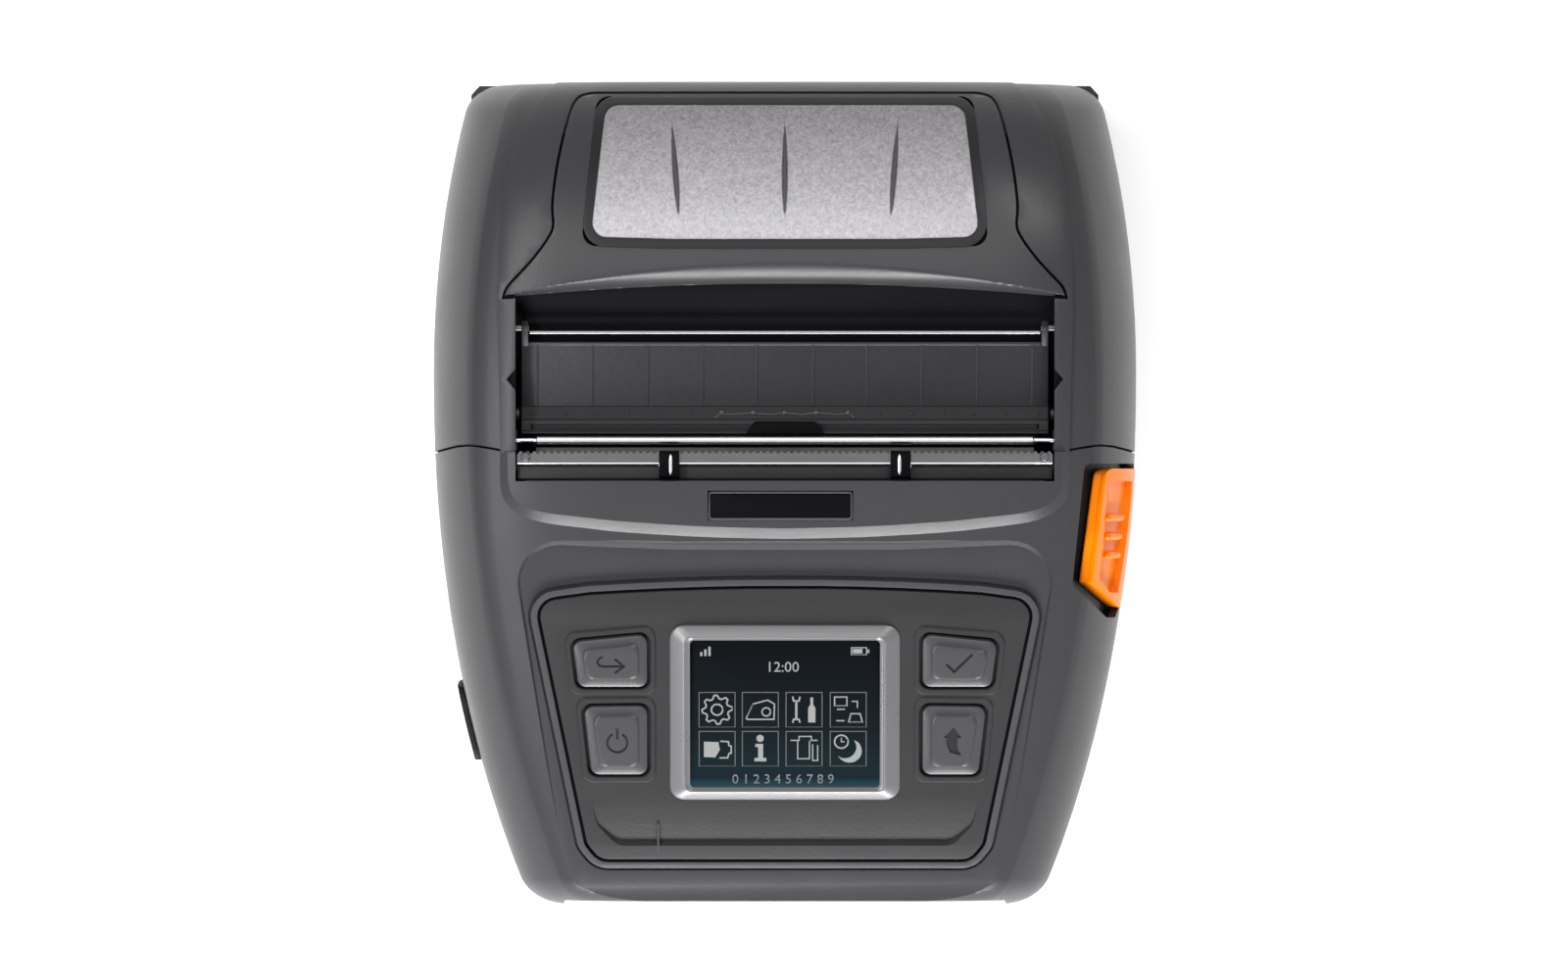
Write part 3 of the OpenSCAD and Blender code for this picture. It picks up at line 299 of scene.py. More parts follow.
def loft(name, rings):
    """A closed solid: a flat face drawn on the first ring and extruded from ring to ring."""
    only(None)
    bpy.ops.mesh.primitive_circle_add(vertices=len(rings[0]), radius=1, fill_type="NGON")
    piece = named(name)
    bpy.ops.object.mode_set(mode="EDIT")
    bpy.ops.mesh.select_mode(type="FACE")
    bpy.ops.mesh.select_all(action="SELECT")
    for step, ring in enumerate(rings):
        if step:
            bpy.ops.mesh.extrude_region_move()
        shape = bmesh.from_edit_mesh(piece.data)
        face = next(f for f in shape.faces if f.select)
        for vertex, point in zip([corner.vert for corner in face.loops], ring):
            vertex.co = Vector(point) * MM
        bmesh.update_edit_mesh(piece.data)
    bpy.ops.object.mode_set(mode="OBJECT")
    tidy(piece)
    if volume(piece) < 0:
        bpy.ops.object.mode_set(mode="EDIT")
        bpy.ops.mesh.flip_normals()
        bpy.ops.object.mode_set(mode="OBJECT")
    return piece


def prism(name, outline, low, high, place=lambda x, y, z: (x, y, z)):
    return loft(name, [[place(x, y, h) for x, y in outline] for h in (low, high)])


def across(name, x0, x1, outline):
    """A plate across X from an outline in Y and Z."""
    return loft(name, [[(x, y, z) for y, z in outline] for x in (x0, x1)])


def block(name, low, high):
    (x0, y0, z0), (x1, y1, z1) = low, high
    return prism(name, [(x0, y0), (x1, y0), (x1, y1), (x0, y1)], z0, z1)


def full_turn(sides, first=0.0):
    """The angles of a ring's corners."""
    return [2 * math.pi * (k + first) / sides for k in range(sides)]


def turned(name, steps, y, z, sides=32):
    """A turned bar along X from steps of (x, radius)."""
    return loft(name, [[(x, y + r * math.cos(a), z + r * math.sin(a)) for a in full_turn(sides)]
                       for x, r in steps])


def rod(name, x0, x1, y, z, r, sides=32):
    return turned(name, [(x0, r), (x1, r)], y, z, sides)


def tube(name, path, radius, sides=8):
    """A tube along a path; the radius is a number or a function of the share of the way."""
    points = [Vector(p) for p in path]
    normal = Vector((0, 0, 1))
    rings = []
    for i, point in enumerate(points):
        along = (points[min(i + 1, len(points) - 1)] - points[max(i - 1, 0)]).normalized()
        side = along.cross(normal).normalized()
        up = side.cross(along).normalized()
        r = radius(i / (len(points) - 1)) if callable(radius) else radius
        rings.append([point + side * r * math.cos(a) + up * r * math.sin(a)
                      for a in full_turn(sides, 0.5)])
    return loft(name, rings)


def thinned(end, more, power):
    """A tube's radius along its way: thin at both ends and fuller by more between them."""
    return lambda share: end + more * (1 - (2 * share - 1) ** power)


def pointed(end, more):
    """A tube's radius along its way: a long point at both ends."""
    return lambda share: end + more * math.sin(math.pi * share ** 0.8) ** 0.9


def apply(piece, kind, **settings):
    only(piece)
    modifier = piece.modifiers.new(kind.lower(), kind)
    for key, value in settings.items():
        setattr(modifier, key, value)
    bpy.ops.object.modifier_apply(modifier=modifier.name)
    return piece


def carve(piece, *tools, operation="DIFFERENCE"):
    """Cuts the tools out of a piece, and removes them."""
    for tool in tools:
        apply(piece, "BOOLEAN", operation=operation, solver="EXACT", object=tool)
        bpy.data.objects.remove(tool)
    return piece


def keep_within(piece, tool):
    return carve(piece, tool, operation="INTERSECT")


def round_edges(piece, width, segments=2, angle=32.0):
    return apply(piece, "BEVEL", width=width * MM, segments=segments, limit_method="ANGLE",
                 angle_limit=math.radians(angle), use_clamp_overlap=True, miter_outer="MITER_ARC")


def join(name, pieces):
    only(pieces[0])
    for piece in pieces:
        piece.select_set(True)
    bpy.ops.object.join()
    return named(name)


def copied(piece, name):
    twin = piece.copy()
    twin.data = piece.data.copy()
    twin.name = twin.data.name = name
    bpy.context.scene.collection.objects.link(twin)
    return twin


def flipped(piece, name):
    """A mirror image of a piece across the middle, with its faces turned outwards again."""
    twin = copied(piece, name)
    twin.data.transform(Matrix.Scale(-1, 4, Vector((1, 0, 0))))
    return tidy(twin)


def pair(name, piece):
    return join(name, [piece, flipped(piece, name + "_twin")])


def node_copy(node, name):
    """A copy of a construction node as a clean mesh without its loose triangles."""
    only(None)
    twin = bpy.data.objects.new(name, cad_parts[node].data.copy())
    twin.data.materials.clear()
    bpy.context.scene.collection.objects.link(twin)
    only(twin)
    bpy.ops.object.mode_set(mode="EDIT")
    bpy.ops.mesh.select_all(action="SELECT")
    bpy.ops.mesh.remove_doubles(threshold=0.004 * MM)
    bpy.ops.mesh.dissolve_limited(angle_limit=math.radians(0.6))
    bpy.ops.object.mode_set(mode="OBJECT")
    return twin


def seam_y(x):
    """Where the cover meets the front casing; the line bends up over each ridge."""
    return SPLIT_Y + 0.1 + table(abs(x), [(0, 0), (58, -0.7), (61, -0.6), (66, 0.4), (69, 0.75),
                                          (72, 0.5), (77.8, -0.9)])


def section(y, deep, floor, ends=None):
    """One cross-section of the casing as a closed ring, from the right flank over the front.

    ends turns a point's x into its place along the body, for a first or last ring that isn't flat."""
    z_ridge = ridge_z(y, deep)
    x_ridge = flank_x(y, z_ridge, deep)
    soft = min(RIDGE_SOFT, (z_ridge - floor) * 0.3)
    below = (flank_x(y, z_ridge - soft, deep), z_ridge - soft)
    inner = max(0.0, x_ridge - soft)
    above = (inner, top_z(inner, y, deep))
    heights = [floor + (below[1] - floor) * k / FLANK_STEPS for k in range(FLANK_STEPS + 1)]
    half = [(flank_x(y, z, deep), z) for z in heights]
    for t in (0.25, 0.5, 0.75):
        half.append(tuple((1 - t) ** 2 * a + 2 * t * (1 - t) * b + t * t * c
                          for a, b, c in zip(below, (x_ridge, z_ridge), above)))
    half += [(x, top_z(x, y, deep)) for x in (inner * (1 - k / TOP_STEPS) for k in range(TOP_STEPS + 1))]
    ring = half + mirrored(half[:-1])
    place = ends or (lambda x: y)
    return [(x, place(x), z) for x, z in ring]


def form(name, y0, y1, deep, floor, first=None, last=None):
    """A solid stretch of the casing between two places along the body, down to a flat floor."""
    places = rows(y0, y1, deep)
    if first:
        places = [y0] + [y for y in places if y > y0 + 1.2]
    if last:
        places = [y for y in places if y < y1 - 1.5] + [y1]
    rings = [section(y, deep, floor) for y in places]
    if first:
        rings[0] = section(y0, deep, floor, first)
    if last:
        rings[-1] = section(y1, deep, floor, last)
    return loft(name, rings)


def slab(name, places, deep, thick, half=66.0, columns=44, drop=lambda x, y: 0.0, lift=0.0):
    """A slab that follows the front's face, for plates that are cut out of it."""
    rings = []
    for y in places:
        reach = min(half, half_w(y) - end_in(y, deep=deep) - BAND_W - 1.2)
        xs = [reach * (1 - 2 * k / columns) for k in range(columns + 1)]
        top = [(x, y, top_z(x, y, deep) - drop(x, y) + lift) for x in xs]
        rings.append(top + [(x, y, z - thick) for x, y, z in reversed(top)])
    return loft(name, rings)


def plate(name, outline, deep, thick):
    """A plate with an outline in plan that follows the front's face."""
    ys = [y for _, y in outline]
    low, high = max(min(ys) - 4, Y_BOT + end_deep(deep) + 1), min(max(ys) + 4, Y_TOP - end_deep(deep))
    return keep_within(slab(name, rows(low, high, deep, 3), deep, thick),
                       prism("cutter", outline, 0, 90))


# Finishes

class Value:
    """A socket in a material; ordinary sums written with it add the nodes that work them out."""

    def __init__(self, finish, socket):
        self.finish, self.socket = finish, socket

    def _sum(self, operation, first, second):
        return self.finish.node("ShaderNodeMath", {"operation": operation}, {0: first, 1: second})

    def __add__(self, other):
        return self._sum("ADD", self, other)

    def __radd__(self, other):
        return self._sum("ADD", other, self)

    def __sub__(self, other):
        return self._sum("SUBTRACT", self, other)

    def __mul__(self, other):
        return self._sum("MULTIPLY", self, other)


class Finish:
    """A material built from nodes, on the places of each piece's own points."""

    def __init__(self, name):
        self.material = bpy.data.materials.new(name)
        self.material.use_nodes = True
        self.tree = self.material.node_tree
        self.shader = self.tree.nodes["Principled BSDF"]
        self.place = self.node("ShaderNodeTexCoord", output="Object")

    def node(self, kind, settings=None, sockets=None, output=0):
        """Adds a node: its settings first, then the values or links of its sockets."""
        made = self.tree.nodes.new(kind)
        for key, value in (settings or {}).items():
            if key == "stops":
                ramp = made.color_ramp
                while len(ramp.elements) < len(value):
                    ramp.elements.new(0.5)
                for stop, (position, color) in zip(ramp.elements, value):
                    stop.position = position
                    stop.color = (*color, 1) if len(color) == 3 else color
            else:
                setattr(made, key, value)
        for key, value in (sockets or {}).items():
            self.set(made.inputs[key], value)
        return Value(self, made.outputs[output])

    def set(self, socket, value):
        if isinstance(value, Value):
            self.tree.links.new(value.socket, socket)
        else:
            socket.default_value = value

    def surface(self, **sockets):
        """Sets the shader's sockets; a name's underscores stand for spaces."""
        for key, value in sockets.items():
            self.set(self.shader.inputs[key.replace("_", " ")], value)
        return self

    def noise(self, scale, detail=4.0, roughness=0.55, place=None):
        return self.node("ShaderNodeTexNoise", {},
                         {"Vector": place or self.place, "Scale": scale, "Detail": detail,
                          "Roughness": roughness})

    def grains(self, scale, randomness=1.0):
        return self.node("ShaderNodeTexVoronoi", {},
                         {"Vector": self.place, "Scale": scale, "Randomness": randomness})

    def stretched(self, scale):
        return self.node("ShaderNodeMapping", {}, {"Vector": self.place, "Scale": scale})

    def blend(self, share, first, second):
        """A colour between two others."""
        made = self.tree.nodes.new("ShaderNodeMix")
        made.data_type = "RGBA"
        self.set(made.inputs["Factor"], share)
        for socket, value in zip([s for s in made.inputs if s.type == "RGBA"], (first, second)):
            self.set(socket, (*value, 1) if isinstance(value, tuple) and len(value) == 3 else value)
        return Value(self, next(s for s in made.outputs if s.type == "RGBA"))

    def relief(self, height, distance, strength=1.0):
        """Feeds a height, in millimetres when distance is one, to the surface's normal."""
        bump = self.node("ShaderNodeBump", {},
                         {"Height": height, "Distance": distance * MM, "Strength": strength},
                         output="Normal")
        return self.surface(Normal=bump)


def shade(color, factor):
    return tuple(min(1.0, c * factor) for c in color)


def moulded(name, color, roughness, grain, depth, mottle, specular):
    """Spark-textured moulding: fine grains, a faint cloudiness and a little wear in the gloss."""
    f = Finish(name)
    cloud = f.noise(38.0, 5.0)
    speckle = f.noise(grain * 1.6, 2.0)
    share = (cloud - 0.5) * 0.9 + (speckle - 0.5) * 0.55 + 0.5
    f.surface(Base_Color=f.blend(share, shade(color, 1 - mottle), shade(color, 1 + mottle)),
              Roughness=roughness + (f.noise(70.0) - 0.5) * 0.12 + (speckle - 0.5) * 0.10,
              Specular_IOR_Level=specular)
    return f.relief(f.grains(grain) * 0.6 + speckle * 0.6, depth, 0.5).material


def steel(name, color, roughness, along, depth):
    """Brushed metal: long fine scratches one way and a slow change in the gloss."""
    f = Finish(name)
    scratches = f.noise(1.0, 3.0, place=f.stretched(along))
    clouds = f.noise(60.0, 3.0)
    f.surface(Base_Color=f.blend(clouds * 0.6 + scratches * 0.4, shade(color, 0.88), shade(color, 1.08)),
              Metallic=1.0, Roughness=roughness + (scratches - 0.5) * 0.22 + (clouds - 0.5) * 0.1)
    return f.relief(scratches, depth, 0.4).material


def make_window():
    """The smoked lens, frosted inside: coarse pale specks under a gloss face, painted lighter towards
    its lower edge and darker towards its top end as painted light and shade.
    """
    f = Finish("smoked_window_painted_light")
    specks = f.noise(1700.0, 2.0, 0.6)
    clumps = f.noise(700.0, 2.0, 0.5)
    grain = f.node("ShaderNodeValToRGB", {"stops": [(0.34, (0, 0, 0)), (0.68, (1, 1, 1))]},
                   {"Fac": specks * 0.65 + clumps * 0.35})
    # Painted light and shade: a share that runs from the lens's lower edge up to its top end
    painted_light_height = f.node("ShaderNodeSeparateXYZ", {}, {"Vector": f.place}, output="Y")
    light = f.node("ShaderNodeMapRange", {}, {"Value": painted_light_height, "From Min": 0.054, "From Max": 0.086,
                                              "To Min": 1.0, "To Max": 0.0})
    # The painted lit tone for the lower part of the lens and the painted shaded tone for its top
    low = f.blend(grain, (0.37, 0.36, 0.375), (0.60, 0.59, 0.61))
    high = f.blend(grain, (0.10, 0.097, 0.102), (0.25, 0.245, 0.255))
    f.surface(Base_Color=f.blend(light, high, low), Roughness=0.36 + grain * 0.12, Coat_Weight=0.25,
              Coat_Roughness=0.15, Specular_IOR_Level=0.4)
    return f.relief(grain, 0.02, 0.3).material


def make_screen():
    """The lit display: black above, a blue-green glow towards its foot, behind gloss glass."""
    f = Finish("screen_glow")
    up = f.node("ShaderNodeSeparateXYZ", {}, {"Vector": f.place}, output="Y")
    share = f.node("ShaderNodeMapRange", {}, {"Value": up, "From Min": -0.0665, "From Max": -0.034,
                                              "To Min": 0.0, "To Max": 1.0})
    glow = f.node("ShaderNodeValToRGB",
                  {"stops": [(0.0, (0.020, 0.075, 0.095)), (0.09, (0.016, 0.058, 0.075)),
                             (0.13, (0.006, 0.020, 0.027)), (0.45, (0.003, 0.009, 0.012)),
                             (1.0, (0.001, 0.001, 0.002))]}, {"Fac": share})
    dots = f.grains(2600.0, randomness=0.0)
    f.surface(Base_Color=f.blend(dots * 0.5, (0.0015, 0.0020, 0.0025), (0.003, 0.0035, 0.0045)),
              Roughness=0.16 + f.noise(90.0) * 0.05, Specular_IOR_Level=0.06, Emission_Color=glow,
              Emission_Strength=1.0)
    return f.material


def make_symbols(name, tone, glow):
    """Lit marks on the display: a grey tone and how strongly it glows."""
    f = Finish(name)
    speck = f.noise(1500.0)
    tint = f.blend(speck, (tone * 0.82, tone * 0.86, tone * 0.88), (tone, tone * 1.03, tone * 1.04))
    return f.surface(Base_Color=tint, Roughness=0.4 + speck * 0.1, Emission_Color=tint,
                     Emission_Strength=glow).material


def make_key():
    """Orange gloss moulding with a soft peel in its shine."""
    f = Finish("orange_gloss")
    cloud = f.noise(60.0, 3.0)
    peel = f.noise(520.0, 2.0)
    f.surface(Base_Color=f.blend(cloud, (0.92, 0.190, 0.000), (1.0, 0.270, 0.001)),
              Roughness=0.30 + (peel - 0.5) * 0.08, Specular_IOR_Level=0.12, Coat_Weight=0.05,
              Coat_Roughness=0.08)
    return f.relief(peel, 0.02, 0.3).material


def make_board():
    """Green solder mask over faint copper tracks."""
    f = Finish("circuit_board")
    tracks = f.node("ShaderNodeTexBrick", {}, {"Vector": f.place, "Scale": 260.0, "Mortar Size": 0.012},
                    output="Fac")
    f.surface(Base_Color=f.blend(tracks, (0.010, 0.105, 0.040), (0.05, 0.20, 0.08)),
              Roughness=0.32 + f.noise(500.0) * 0.12)
    return f.relief(tracks, 0.02, 0.5).material


# Mouldings: name, colour, roughness, grain, its depth, mottle and specular level
MOULDED = {
    "casing": ("casing_grey", (0.032, 0.032, 0.034), 0.34, 1050.0, 0.030, 0.10, 0.24),
    "panel": ("panel_grey", (0.024, 0.024, 0.025), 0.40, 1000.0, 0.045, 0.10, 0.18),
    # inside: near black; on the cover's core and in the panel's groove it is painted shade, on the inner
    # parts their own dark colour
    "inside": ("inside_black_and_painted_shade", (0.006, 0.006, 0.007), 0.70, 700.0, 0.05, 0.10, 0.02),
    # black: grained black plastic; on the ledge below the tear bar it is painted shade
    "black": ("grained_black_and_painted_shade", (0.012, 0.012, 0.013), 0.46, 900.0, 0.05, 0.10, 0.2),
    "door": ("door_black", (0.015, 0.015, 0.017), 0.40, 620.0, 0.09, 0.30, 0.3),
    # seal: black rubber on the window's frame; on the skirt behind the key it is painted shade
    "seal": ("seal_rubber_and_painted_shade", (0.008, 0.008, 0.009), 0.42, 500.0, 0.02, 0.10, 0.2),
    "rubber": ("soft_rubber", (0.010, 0.010, 0.011), 0.68, 800.0, 0.05, 0.10, 0.2),
    "button": ("button_grey", (0.042, 0.042, 0.044), 0.33, 1100.0, 0.02, 0.10, 0.33),
    "bezel": ("bezel_satin", (0.095, 0.095, 0.098), 0.30, 1400.0, 0.003, 0.05, 0.9),
    # plate: the badge's black and the clips' black; on the door's tab it is painted shade
    "plate": ("badge_black_and_painted_shade", (0.004, 0.004, 0.005), 0.45, 500.0, 0.01, 0.10, 0.02),
    # groove: the dark grey painted into the floors of the lens's grooves as their shade
    "groove": ("window_groove_painted_shade", (0.060, 0.056, 0.058), 0.40, 500.0, 0.01, 0.10, 0.3),
    "gear": ("ivory_gear", (0.68, 0.64, 0.54), 0.4, 600.0, 0.01, 0.05, 0.5),
    "ceramic": ("glazed_head", (0.10, 0.085, 0.07), 0.25, 900.0, 0.01, 0.06, 0.5),
}
# Metals: name, colour, roughness, how fine the scratches are along X, Y and Z, and their depth
BRUSHED = (8.0, 900.0, 900.0)
METALS = {
    # steel: far darker than bare steel; on the tilted tear strip this is painted shade
    "steel": ("brushed_steel_and_painted_shade", (0.10, 0.10, 0.103), 0.34, BRUSHED, 0.012),
    "dark_steel": ("sprung_steel", (0.22, 0.22, 0.23), 0.36, BRUSHED, 0.012),
    # chrome: the peel bar's own finish; on the tear strip's fold and the clips' ridges it is a painted
    # highlight
    "chrome": ("turned_chrome_and_painted_highlight", (0.60, 0.60, 0.62), 0.20, (900.0, 30.0, 30.0), 0.004),
    "aluminium": ("extruded_aluminium", (0.62, 0.63, 0.65), 0.34, BRUSHED, 0.012),
    "contact": ("plated_contact", (0.72, 0.52, 0.20), 0.26, BRUSHED, 0.012),
}
FINISHES = {key: moulded(*row) for key, row in MOULDED.items()}
FINISHES.update((key, steel(*row)) for key, row in METALS.items())
FINISHES.update(window=make_window(), screen=make_screen(), key=make_key(), board=make_board(),
                symbols=make_symbols("screen_symbols", 0.20, 0.13),
                tiles=make_symbols("screen_tiles", 0.06, 0.2))


def fit(piece, body, finish, slot, *replaced, angle=38.0):
    """Gives a finished piece its material and its body, and hides the construction nodes that it stands
    for.

    Its faces are shaded as one where they meet at less than an angle."""
    piece.data.materials.clear()
    piece.data.materials.append(FINISHES[finish])
    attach(piece, body)
    if replaced:
        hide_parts(*replaced)
    if angle:
        only(piece)
        bpy.ops.object.shade_smooth_by_angle(angle=math.radians(angle), keep_sharp_edges=False)
    return piece


# Camera, light and floor

# A long lens far off, straight over the printer, in metres
CAMERA_PLACE, CAMERA_LENS = (-0.0002, 0.0010, 3.04), 312.0
FLOOR_GLOW = 0.38
WORLD_LIGHT, WORLD_SEEN = 0.06, 1.0


def make_camera():
    data = bpy.data.cameras.new("camera")
    data.sensor_width, data.lens, data.clip_end = 36.0, CAMERA_LENS, 20.0
    camera = bpy.data.objects.new("camera", data)
    camera.location = CAMERA_PLACE
    bpy.context.scene.collection.objects.link(camera)
    bpy.context.scene.camera = camera


def lamp(name, place, aim, size, power):
    data = bpy.data.lights.new(name, "AREA")
    data.shape, data.energy = "RECTANGLE", power
    data.size, data.size_y = size
    light = bpy.data.objects.new(name, data)
    light.location = place
    light.rotation_euler = (Vector(aim) - Vector(place)).to_track_quat("-Z", "Y").to_euler()
    bpy.context.scene.collection.objects.link(light)


BACKDROP_RAYS = ("Is Camera Ray", "Is Glossy Ray", "Is Transmission Ray")
# Each lamp: its name, place, aim, size and power
LIGHTS = [("overhead", (0.0, 0.42, 1.2), (0, 0, 0.05), (1.2, 0.6), 6.5),
          ("low_strip", (0.0, -0.95, 0.27), (0, 0, 0.06), (0.8, 0.3), 21.0),
          ("left_strip", (-0.62, 0.0, 0.85), (0, 0, 0.05), (1.3, 0.14), 9.0),
          ("right_strip", (0.95, 0.0, 0.15), (0, 0, 0.05), (1.2, 0.15), 1.0),
          ("right_top", (0.5, 0.6, 0.75), (0, 0.03, 0.06), (0.4, 0.16), 2.5)]


def make_stage():
    """A pale floor that looks white to the camera and in shiny faces, and keeps the printer's shadow."""
    only(None)
    bpy.ops.mesh.primitive_grid_add(x_subdivisions=4, y_subdivisions=4, size=6)
    floor = named("studio_floor")
    f = Finish("studio_white")
    rays = sum((f.node("ShaderNodeLightPath", output=kind) for kind in BACKDROP_RAYS), 0.0)
    soft = f.node("ShaderNodeTexNoise", {}, {"Vector": f.place, "Scale": 3.0})
    f.surface(Base_Color=f.blend(soft, (0.80, 0.80, 0.80), (0.82, 0.82, 0.82)), Roughness=0.9,
              Specular_IOR_Level=0.1, Emission_Color=(1, 1, 1, 1), Emission_Strength=rays * FLOOR_GLOW)
    floor.data.materials.append(f.material)
    world = bpy.data.worlds.new("studio")
    bpy.context.scene.world = world
    world.use_nodes = True
    tree = world.node_tree
    paths = tree.nodes.new("ShaderNodeLightPath")
    seen = paths.outputs[BACKDROP_RAYS[0]]
    for kind in BACKDROP_RAYS[1:]:
        both_kinds = tree.nodes.new("ShaderNodeMath")
        tree.links.new(seen, both_kinds.inputs[0])
        tree.links.new(paths.outputs[kind], both_kinds.inputs[1])
        seen = both_kinds.outputs[0]
    strength = tree.nodes.new("ShaderNodeMapRange")
    tree.links.new(seen, strength.inputs["Value"])
    strength.inputs["To Min"].default_value = WORLD_LIGHT
    strength.inputs["To Max"].default_value = WORLD_SEEN
    backdrop = tree.nodes["Background"]
    backdrop.inputs["Color"].default_value = (1, 1, 1, 1)
    tree.links.new(strength.outputs["Result"], backdrop.inputs["Strength"])
    for light in LIGHTS:
        lamp(*light)


make_camera()
make_stage()
bpy.context.scene.view_settings.view_transform = "Standard"


# The casing

def low_form(name, deep, high):
    """The lower stretch of the whole casing, from the back up to a flat top."""
    rings = []
    count = 14
    for y in rows(Y_BOT + end_deep(deep), Y_TOP - end_deep(deep), deep):
        zs = [BACK_Z + (high - BACK_Z) * (k / count) ** 1.6 for k in range(count + 1)]
        rings.append([(x, y, z) for x, z in both([(flank_x(y, z, deep), z) for z in zs])])
    return loft(name, rings)


# The rolled lip: half its width, and where it starts and ends at the middle and beside the recess
LIP_HALF, LIP_TOP, LIP_EDGE = 57.5, (50.4, 44.2), (46.1, 43.5)


def lip_y(x, middle, side):
    """A shallow arc over the recess: its place at the middle and beside the recess."""
    return middle - (middle - side) * (x / LIP_HALF) ** 2


def lip_edge(drawn_in=0.0):
    """The lip's lower edge from right to left."""
    return [(x, lip_y(x, *LIP_EDGE) + drawn_in)
            for x in (LIP_HALF - 2 * LIP_HALF * k / 26 for k in range(27))]


RECESS_SIDE = [(SLOT_HALF, 4.0), (SLOT_HALF, 22.8), (SLOT_HALF + 1.9, 25.2), (SLOT_HALF, 27.4),
               (SLOT_HALF, 44.0)]
RECESS = RECESS_SIDE + lip_edge(drawn_in=1.2) + mirrored(RECESS_SIDE)
MIDDLE_SIDE = smooth_path([(61.1, 43.3), (60.4, 45.2), (57.4, 48.4), (54.6, 51.5), (51.6, 55.6),
                           (50.3, 58.6), (50.5, 63.2), (49.8, 70.0), (48.6, 76.6), (47.3, 82.0),
                           (45.9, 86.0), (44.4, 87.4),
                           (42.0, 87.9)], 1.2)
MIDDLE_OUTLINE = lip_edge()[::-1] + both(MIDDLE_SIDE)
FRAME_SIDE = smooth_path([(62.2, 9.0), (62.5, 25.0), (62.9, 40.3), (62.6, 53.0), (61.3, 68.3),
                          (58.8, 78.5), (55.9, 84.2), (53.1, 88.2), (50.2, 90.9)], 3.0)

SLAB_W = SEAT_W - 2.2
CORNER = 6.6
LIP_DEEP = 4.5
BADGE_X, BADGE_Y = -1.0, SPLIT_Y - 12.6
BADGE_Z = crown_z(BADGE_Y) - 0.6
PANEL_OUTLINE = both([(PANEL_HALF - 15.2, PANEL_LOW_V), (PANEL_HALF - 11.2, PANEL_LOW_V + 5.2),
                      (PANEL_HALF + 0.3, PANEL_TOP_V - 4.4)]
                     + [(x, PANEL_TOP_V - 0.9 - 1.25 * (x / 40) ** 2) for x in (43, 35, 26, 17, 8)])
VALLEY_OUTLINE = both([(VALLEY_HALF - 14, PANEL_LOW_V - 20), (VALLEY_HALF - 11, PANEL_LOW_V + 4.6),
                       (VALLEY_HALF - 0.6, PANEL_TOP_V + 6.4), (24, PANEL_TOP_V + 4.9)])
VALLEY_STEPS = [(VALLEY_W, 0.0), (-4.3, 0.3), (-2.2, 1.7), (-1.6, 2.1), (-1.0, 3.0), (0.2, 5.6),
                (3.0, 16.0)]
APRON_EDGE = [(62.3, 9.3), (62.3, 3.0), (61.6, -0.9), (58.8, -3.9), (53.5, -6.0), (43.0, -7.4),
              (34.3, -8.3), (17.0, -9.3), (0, -9.7)]
APRON_INNER = [(60.6, 9.3), (60.5, 3.2), (59.7, 0.0), (57.3, -2.3), (52.6, -3.9), (42.0, -5.2),
               (33.5, -6.0), (17.0, -7.0), (0, -7.4)]

# The apron's soft edge: shares of the way in, and how deep each lies
APRON_STEPS = ((0.0, 5.0), (0.0, 1.15), (0.3, 0.75), (1.0, SAFE), (1.0, -14.0))


def apron_outline(share):
    """The apron's outline at a share of the way from its foot to its raised face."""
    right = smooth_path([(a + (c - a) * share, b + (d - b) * share)
                         for (a, b), (c, d) in zip(APRON_EDGE, APRON_INNER)], pieces=5)
    return right + mirrored(right)[1:]


KEY_OUTLINE = [(SPLIT_Y - 4.5, SPLIT_Z + 9.5), (SPLIT_Y - 4.5, ridge_z(SPLIT_Y - 4.5) + 0.9),
               (SPLIT_Y - 30.8, ridge_z(SPLIT_Y - 30.8) + 0.5), (SPLIT_Y - 36.2, SPLIT_Z + 22),
               (SPLIT_Y - 36.2, SPLIT_Z + 13), (SPLIT_Y - 33.5, SPLIT_Z + 9.5)]
KEY_GROWN = grown([(y, z + 4.5 if z > ridge_z(y) else z) for y, z in KEY_OUTLINE], 1.1)


def window_outline(d):
    """The window's outline, drawn out by a distance."""
    return both([(39.2 + d, Y_TOP - 5.6 + d), (42.4 + d, Y_TOP - 34.7 - d), (24, Y_TOP - 35.2 - d)])


def window_cut(d, radius=3.0):
    return prism("cutter", rounded(window_outline(d), radius), 40, CLEAR)


def hinge_cuts():
    """Cutters for the room round the hinge: beside the two knuckles, and under the cover's end."""
    right = block("cutter", (HINGE_X - 4.3, HINGE_Y - 7, SPLIT_Z - 1),
                  (HINGE_X + 4.3, Y_TOP + 1, HINGE_Z + 6.6))
    left = flipped(right, "cutter")
    under = block("cutter", (-54, HINGE_Y, SPLIT_Z - 1), (54, Y_TOP + 1, HINGE_Z))
    pin = rod("pin_hole", -54, 54, HINGE_Y, HINGE_Z, 4.9, 48)
    return [right, left, carve(under, pin)]


def slope_prism(name, outline, low, high):
    return prism(name, outline, low, high, on_slope)


def slope_loft(name, layers):
    """A solid on the tilted front from layers of (height, outline)."""
    return loft(name, [[on_slope(u, v, w) for u, v in outline] for w, outline in layers])


